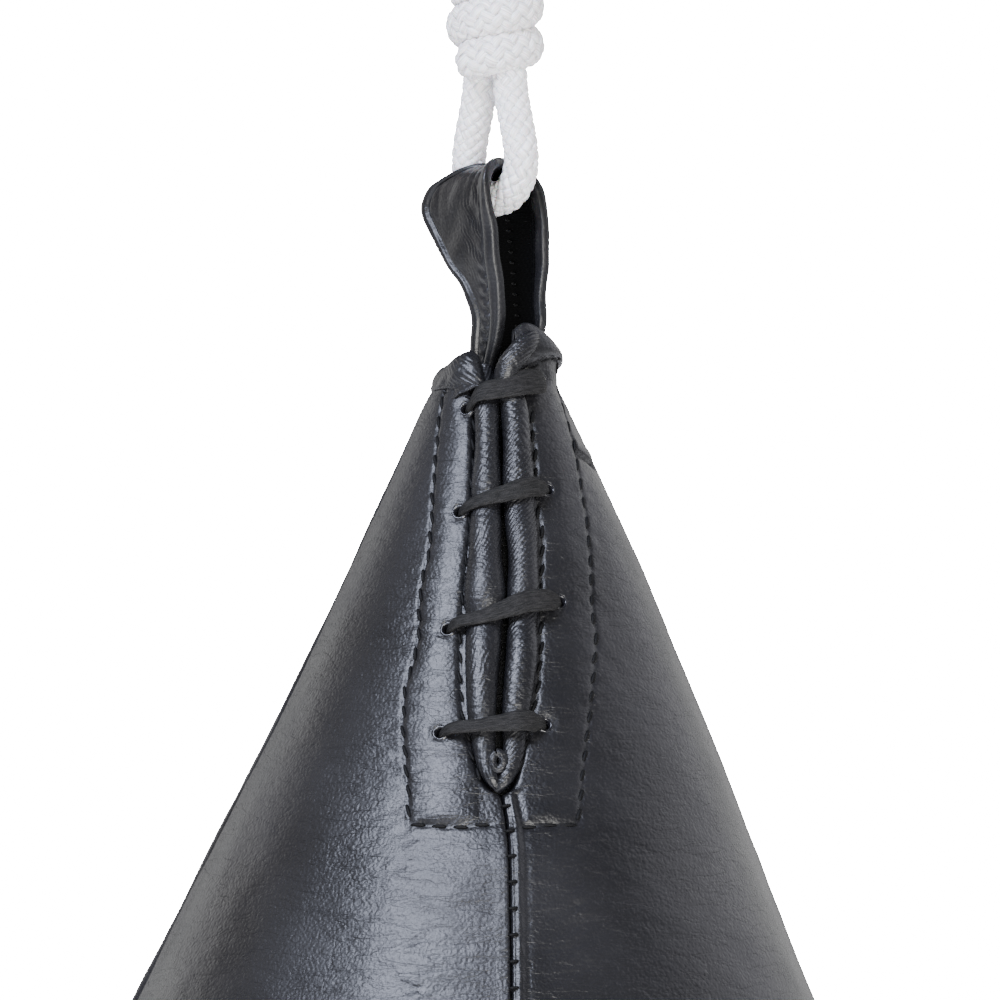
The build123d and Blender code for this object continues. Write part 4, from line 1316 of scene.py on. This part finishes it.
# %% [markdown]
# ## Rolled neck
# The gores' top edge is turned outwards over itself and sewn down, which makes a cuff round the
# neck.  It stands higher on the right, where the lip runs into it, and on the left its corner is
# drawn into wrinkles by the first lace.  The cuff is one surface round the neck: down the outside
# from its hem stitches, over the rolled top, and down the inside.  Its heights are given at a few
# compass angles, so that each lobe can be set by itself.

# %% Cuff of the neck
CUFF_START, CUFF_END = np.radians(16.0), np.radians(349.0)
CUFF_COLUMNS, CUFF_ROWS = 760, 130
CUFF_THICKNESS = 0.8
cuff_turn = np.linspace(CUFF_START, CUFF_END, CUFF_COLUMNS)
compass = np.degrees(cuff_turn)[:, None]
# compass angle, drop of the top edge, drop of the hem, bulge of the roll, and its lean inwards
cuff_table = np.array([
    (16, 25, 40, 58, 72, 84, 110, 180, 250, 275, 295, 308, 320, 332, 341, 349),
    (-4.4, -5.7, -5.8, -3.8, -1.7, -0.4, -0.2, -1.6, 3.4, 4.0, 2.9, 1.5, 0.6, 0.5, 2.6, 6.4),
    (6.4, 4.8, 2.7, 2.1, 2.4, 3.6, 5.4, 8.0, 9.6, 9.8, 9.6, 9.4, 9.5, 9.9, 10.6, 11.4),
    (0.6, 1.1, 1.4, 1.5, 1.5, 1.5, 1.4, 1.4, 1.3, 1.2, 1.3, 1.7, 2.3, 2.7, 2.7, 2.2),
    (0.4, 0.9, 1.6, 1.4, 1.0, 0.8, 1.0, 1.0, 1.0, 1.0, 1.2, 1.3, 1.3, 1.0, 0.8, 0.6),
])
cuff_top, cuff_foot, cuff_puff, cuff_lean = [through(compass, cuff_table[0], row) for row in cuff_table[1:]]

# the section: share of the way from foot to top, and how far it stands off the neck wall
section = np.array([
    (-0.08, 0.0, 0.10, 0.3, 0.55, 0.8, 0.95, 1.0, 0.97, 0.85, 0.6, 0.3, 0.0),
    (-1.1, -0.6, 0.45, 0.95, 1.0, 0.75, 0.2, -0.7, -1.8, -2.5, -2.7, -2.8, -2.8),
])
section_t, section_at = np.linspace(0, 1, CUFF_ROWS), np.linspace(0, 1, section.shape[1])
share, stand_off = [through(section_t, section_at, row)[None, :] for row in section]
cuff_drop = cuff_foot + (cuff_top - cuff_foot) * share
outside = np.where(stand_off > 0, stand_off * cuff_puff, stand_off)
arc_mm = cuff_turn[:, None] * NECK_RADIUS
plain_wall = on_leather(arc_mm, down(cuff_drop), 0)
neck_wall = np.hypot(plain_wall[..., 0], plain_wall[..., 1]) - cuff_lean * np.clip(share, 0, 1) ** 2

# slanting wrinkles fan out over the left corner, and soft gathers run round the rest
fan = hump(compass, 334, 26)
run = cuff_drop - 0.8 * arc_mm + 0.7 * np.sin(arc_mm / 2.6) + 0.4 * np.sin(cuff_drop / 1.5)
slant = ridges(np.pi * run / 1.2) * (0.6 + 0.4 * np.sin(arc_mm / 1.9 + cuff_drop * 1.3))
gather = np.sin(2 * np.pi * (arc_mm + 0.8 * cuff_drop) / 3.6 + 1.9 * np.sin(arc_mm / 5.1))
wrinkle = 0.3 * fan * slant + 0.1 * (1 - fan) * gather * step(compass, 110, 200)
reach = neck_wall + outside + wrinkle * step(share, 0.02, 0.2)
turn = np.arctan2(plain_wall[..., 0], -plain_wall[..., 1])
cuff_points = np.stack([reach * np.sin(turn), -reach * np.cos(turn), RIM - cuff_drop], -1)
soft_lumps = 0.3 * relief(cuff_points, 8, 21) * step(share, 0.1, 0.5) * (0.4 + 0.6 * fan)
cuff_points = cuff_points + soft_lumps[..., None] * level_out(cuff_points)
cuff_uv, cuff_faces = side_by_side(arc_mm, cuff_drop), grid_faces(CUFF_COLUMNS, CUFF_ROWS)[:, ::-1]
neck_cuff = make_piece("neck_cuff", cuff_points, cuff_faces, "bag", bag_leather, cuff_uv)
thick_cuff = neck_cuff.modifiers.new("thickness", "SOLIDIFY")
thick_cuff.thickness = CUFF_THICKNESS * MM
thick_cuff.offset = -1.0
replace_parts(neck_cuff, "collar_left", "collar_right")

# stitches along the cuff's hem, on the left lobe and up the right shoulder
HEM_PITCH = 3.4
HEM_STITCH = (2.8, 0.6, 0.6)
for hem_name, hem_places, hem_out in (
    ("hem_stitches_left", [(-14.5, 9.6), (-11.5, 10.4), (-8.5, 10.6), (-5.6, 11.2)], 0.3),
    ("hem_stitches_right", [(7.6, 4.6), (9.4, 3.0), (12.0, 2.3), (15.5, 2.0), (19.0, 2.2)], 0.9),
):
    hem_line, _ = smooth_line(hem_places, 60)
    gone = run_along(hem_line)
    marks = np.arange(1.0, gone[-1], HEM_PITCH)
    hem_arc, hem_drop = [np.interp(marks, gone, places) for places in hem_line.T]
    here = on_leather(hem_arc, down(hem_drop), hem_out)
    ahead = on_leather(hem_arc + 0.5, down(hem_drop + np.gradient(hem_drop, hem_arc) * 0.5), hem_out)
    stitches(hem_name, here, unit(ahead - here), level_out(here), HEM_STITCH)

# %% [markdown]
# ## Strap loop
# A strip of leather lined with nylon webbing is folded over the rope and sewn into the neck, one
# leg each side.  Between the rope's legs the strip is squeezed narrow; below them it opens wide,
# then narrows again into the neck.  Its long edges are turned over a cord and sewn, so each has a
# round ridge with a stitched groove beside it, and the skin fans into creases near the rope.
# The strap is set out in its own directions: along the rope's loop, across it, and up.  One closed
# grid makes it, because its middle line is a plain curve and only its two edges wander.

# %% Outline of the strap
# each place, from the left foot over the top to the right foot: across, up from the rope's pivot,
# far edge and near edge along the loop
strap_places = np.array([
    (-3.9, -60, -3.6, 4.6), (-3.7, -46, -3.4, 5.0), (-3.8, -38, -3.0, 5.8), (-3.6, -32, -2.6, 8.0),
    (-3.7, -27, -2.2, 9.2), (-4.6, -20, -4.6, 10.0), (-5.8, -13.5, -10.2, 10.2), (-6.2, -6.5, -16.0, 10.2),
    (-6.3, -0.5, -18.0, 10.2), (-5.8, 2.6, -15.4, 10.3), (-4.4, 5.0, -9.4, 8.8), (-2.2, 6.2, -5.8, 6.2),
    (0, 6.4, -4.6, 4.9), (2.2, 6.0, -5.2, 5.2), (4.3, 4.6, -8.6, 6.4), (5.5, 2.2, -13.0, 8.2),
    (5.9, -1.4, -15.4, 9.4), (6.0, -7.5, -15.0, 10.4), (5.8, -15, -11.6, 10.4), (5.3, -22, -7.6, 10.2),
    (4.8, -28, -5.0, 11.0), (4.4, -34, -4.2, 9.0), (4.5, -44, -3.8, 5.6), (4.8, -60, -3.8, 4.6),
])
STRAP_ROWS = 440
FLARE = 0.034
strap_line, strap_t = smooth_line(strap_places[:, :2], STRAP_ROWS)
strap_at = run_along(strap_places[:, :2])
far_edge, near_edge = [through(strap_t, strap_at, edge)[:, None] for edge in strap_places.T[2:]]
strap_heading = heading_of(strap_line)
strap_out = np.stack([-strap_heading[:, 1], strap_heading[:, 0]], -1)
print("strap length along its middle", round(float(strap_t[-1]), 1), "mm")


def edge_to_edge(share):
    """Distance along the rope's loop, a share of the way from the far edge to the near edge."""
    return far_edge + (near_edge - far_edge) * share


def by_the_rope(across, along, height):
    """Points from their distances across and along the rope's loop and up from its pivot."""
    return ACROSS * across[..., None] + ALONG * along[..., None] + UP * (STRAP_AXIS + height)[..., None]


def strap_point(along, off):
    """Points at a distance along the rope's loop and a distance off the strap's middle line.

    Beside the rope the near edge flares outwards with the square of its distance along the loop."""
    flare = FLARE * np.clip(along, 0, None) ** 2 * hump(strap_t, strap_at[10], 7.5)[:, None]
    off = off + flare
    across, height = [line[:, None] + out[:, None] * off for line, out in zip(strap_line.T, strap_out.T)]
    return by_the_rope(across, along, height)

# %% [markdown]
# The strap is soft.  Its pieces are given the rope and the bag and the heights between which it
# would bend from one to the other, but they hang on neither body: each keeps the place where it
# is made, with that place baked into its points.

# %% Leather of the strap
BEND_FROM, BEND_TO = STRAP_AXIS - 3, STRAP_AXIS - 29
STRAP_BEND = ("rope", "bag", (0, 0, BEND_FROM * MM), (0, 0, BEND_TO * MM))
ROLL_WIDTH = 3.7
STRAP_THICKNESS = 1.3
LOWER_LEFT, SHOULDER, FAR_SHOULDER, CRUMPLE = strap_at[[4, 9, 15, 20]]


def rolled_edges(share):
    """Height of the rolled edges and their grooves, and distances from the nearer and near edge.

    The near edge has a broad roll; the far edge has a narrow one.  A stitched groove lies inside
    each, and a hair line marks where the near roll's own edge is tucked under."""
    width = near_edge - far_edge
    near_gap, far_gap = (1 - share) * width, share * width
    height = -0.10 * hump(near_gap, 0.7, 0.2)
    for gap, wide, high in ((near_gap, ROLL_WIDTH, 1.0), (far_gap, 0.6 * ROLL_WIDTH, 0.3)):
        wide = np.minimum(wide, width * 0.3)
        height = height + high * np.sqrt(np.clip(1 - ((gap - wide / 2) / (wide / 2)) ** 2, 0, 1))
        height = height - 0.75 * hump(gap, wide + 0.45, 0.5)
    return height, np.minimum(near_gap, far_gap), near_gap


def creases(along, t, near_gap):
    """Creases that fan out from the rope over the shoulder, and puckers along the near groove."""
    t = t + 0 * along
    shoulder = hump(t, SHOULDER + 2.5, 6.5) + 0.4 * hump(t, FAR_SHOULDER, 7.0)
    bend = along + 0.16 * (t - SHOULDER) * np.tanh(along / 8) + 0.9 * np.sin(t / 3.7 + along / 4)
    fan_out = ridges(np.pi * bend / 3.4 + 0.8 * np.sin(along / 3.1)) * (0.6 + 0.4 * np.sin(along / 2.3))
    fine = ridges(np.pi * (along + 0.55 * t + 0.5 * np.sin(t * 1.1)) / 1.15)
    fine = fine * hump(along, 3.0, 4.0) * hump(t, SHOULDER - 7, 9.0) * (0.5 + 0.5 * np.sin(t * 0.9 + along))
    pucker = np.sin(2 * np.pi * (t + 0.3 * along) / 3.1 + 1.2 * np.sin(t / 5.0))
    pucker = pucker * (0.05 + 0.6 * hump(t, LOWER_LEFT - 2, 13.0)) * hump(near_gap, ROLL_WIDTH + 1.9, 1.5)
    crumple = hump(t, CRUMPLE, 2.3) * (1.5 + 0.5 * np.sin(2.2 * t + along))
    return 0.3 * shoulder * fan_out + 0.6 * fine + crumple + pucker


outer_share = np.linspace(0, 1, 90)[None, :]
outer_along = edge_to_edge(outer_share)
rise, nearer, near_gap = rolled_edges(outer_share)
rise = rise + creases(outer_along, strap_t[:, None], near_gap) * np.clip(nearer / ROLL_WIDTH - 0.7, 0, 1)
outer_skin = strap_point(outer_along, STRAP_THICKNESS + rise)
inner_rise = -0.4 * rolled_edges(outer_share[:, ::-1])[0] - 0.1
inner_skin = strap_point(outer_along[:, ::-1], inner_rise)
skin = np.concatenate([outer_skin, inner_skin], 1)
skin = with_lids(skin + (0.09 * relief(skin, 9, 31))[..., None])
skin_faces = grid_faces(*skin.shape[:2], True)
strap_skin = make_piece(
    "strap_skin", skin, skin_faces, STRAP_BEND, strap_leather, merge=WELD
)
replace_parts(strap_skin, "strap_leather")

# %% [markdown]
# The webbing takes the load; the leather only covers it.  It is a plain band just inside the
# strap's skin, a little narrower than it, with its ribs drawn by the finish and not modelled.

# %% Webbing inside the strap
WEB_SHARE = 0.78
WEB_OUTER, WEB_INNER = -0.02, -0.95
web_share = np.linspace(0.5 - 0.5 * WEB_SHARE, 0.5 + 0.5 * WEB_SHARE, 34)
web_along = edge_to_edge(web_share[None, :])
web_sides = [strap_point(web_along, WEB_OUTER), strap_point(web_along[:, ::-1], WEB_INNER)]
web = with_lids(np.concatenate(web_sides, 1))
web_uv = side_by_side(strap_t[:, None], np.concatenate([web_along, web_along[:, ::-1]], 1))
web_uv = np.concatenate([web_uv[:1], web_uv, web_uv[-1:]])
web_faces = grid_faces(*web.shape[:2], True)
strap_lining = make_piece(
    "strap_lining", web, web_faces, STRAP_BEND, webbing, web_uv, merge=WELD
)
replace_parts(strap_lining, "strap_webbing")

# %% [markdown]
# The webbing is sewn to the leather by one row of short stitches, which shows inside the right
# leg.  They lie on the band and, like it, stay where they are made.

# %% Stitches that hold the webbing
WEB_PITCH = 2.4
WEB_STITCH = (1.9, 0.6, 0.6)
web_row = np.arange(strap_at[14], strap_at[21], WEB_PITCH)
row_along = np.interp(web_row, strap_t, edge_to_edge(0.52)[:, 0])
row_across, row_height = [np.interp(web_row, strap_t, line) for line in strap_line.T]
web_here = by_the_rope(row_across - 1.05, row_along, row_height)
web_heading = np.broadcast_to(unit(ALONG * 0.9 - UP * 0.2), web_here.shape)
web_out = np.broadcast_to(-ACROSS, web_here.shape)
stitches("strap_box_stitches", web_here, web_heading, web_out, WEB_STITCH, STRAP_BEND)

# %% [markdown]
# ## Floor and light
# A pale floor well below the bag, a white room, one soft lamp high on the left, a strong fill in
# front for the rope, and wide weak lamps at both sides, which the satin leather mirrors in its edges.
# The room is bright only where the camera sees it, so that black leather keeps its depth.

# %% Floor, room and lamps
# the floor's half width and height, like the places and sizes of the lamps, are in metres
FLOOR_HALF, FLOOR_HEIGHT = 3.0, -0.72
ROOM_LIGHT, BACKDROP_LIGHT = 0.17, 40.0
corners = [(x * FLOOR_HALF, y * FLOOR_HALF, FLOOR_HEIGHT) for x, y in ((-1, -1), (1, -1), (1, 1), (-1, 1))]
floor_mesh = bpy.data.meshes.new("floor")
floor_mesh.from_pydata(corners, [], [(0, 1, 2, 3)])
floor = put_in_scene("floor", floor_mesh)
tones = {"Base_Color": colour("#f4f3f1"), "Emission_Color": colour("#ffffff")}
pale, _, _ = start_finish("pale_studio_floor", Roughness=0.8, Emission_Strength=0.5, **tones)
floor_mesh.materials.append(pale)

room = bpy.data.worlds.new("white_room")
room.use_nodes = True
bpy.context.scene.world = room
backdrop = room.node_tree.nodes["Background"]
backdrop.inputs["Color"].default_value = (1.0, 1.0, 1.0, 1.0)
seen = add_node(room.node_tree, "LightPath").outputs["Is Camera Ray"]
lit = add_node(room.node_tree, "MapRange", from_to(0.0, 1.0, ROOM_LIGHT, BACKDROP_LIGHT), {0: seen})
wire(backdrop, Strength=lit)

MIDDLE = Vector((0, 0, -0.33))


def lamp(name, place, size, power, tint):
    """Square soft lamp at place, in metres, turned to the middle of the bag."""
    data = bpy.data.lights.new(name, "AREA")
    data.shape, data.size = "SQUARE", size
    data.energy = power
    data.color = colour(tint)[:3]
    light = put_in_scene(name, data)
    light.location = place
    light.rotation_euler = (MIDDLE - Vector(place)).to_track_quat("-Z", "Y").to_euler()
    print(name, power, "W")


lamp("main_soft_lamp", (-0.76, -1.02, 0.98), 0.8, 74, "#e2e9ff")
lamp("front_fill_lamp", (0.35, -2.3, -0.45), 1.1, 108, "#fffdf8")
lamp("right_side_lamp", (1.25, 0.35, 0.45), 1.5, 11, "#f6f6ff")
lamp("left_side_lamp", (-1.25, 0.35, 0.45), 1.5, 3, "#fff8f6")
lamp("left_edge_lamp", (-1.15, 1.3, 0.0), 1.1, 5, "#ffffff")
lamp("right_edge_lamp", (1.0, 1.5, 0.0), 1.1, 4, "#ffffff")
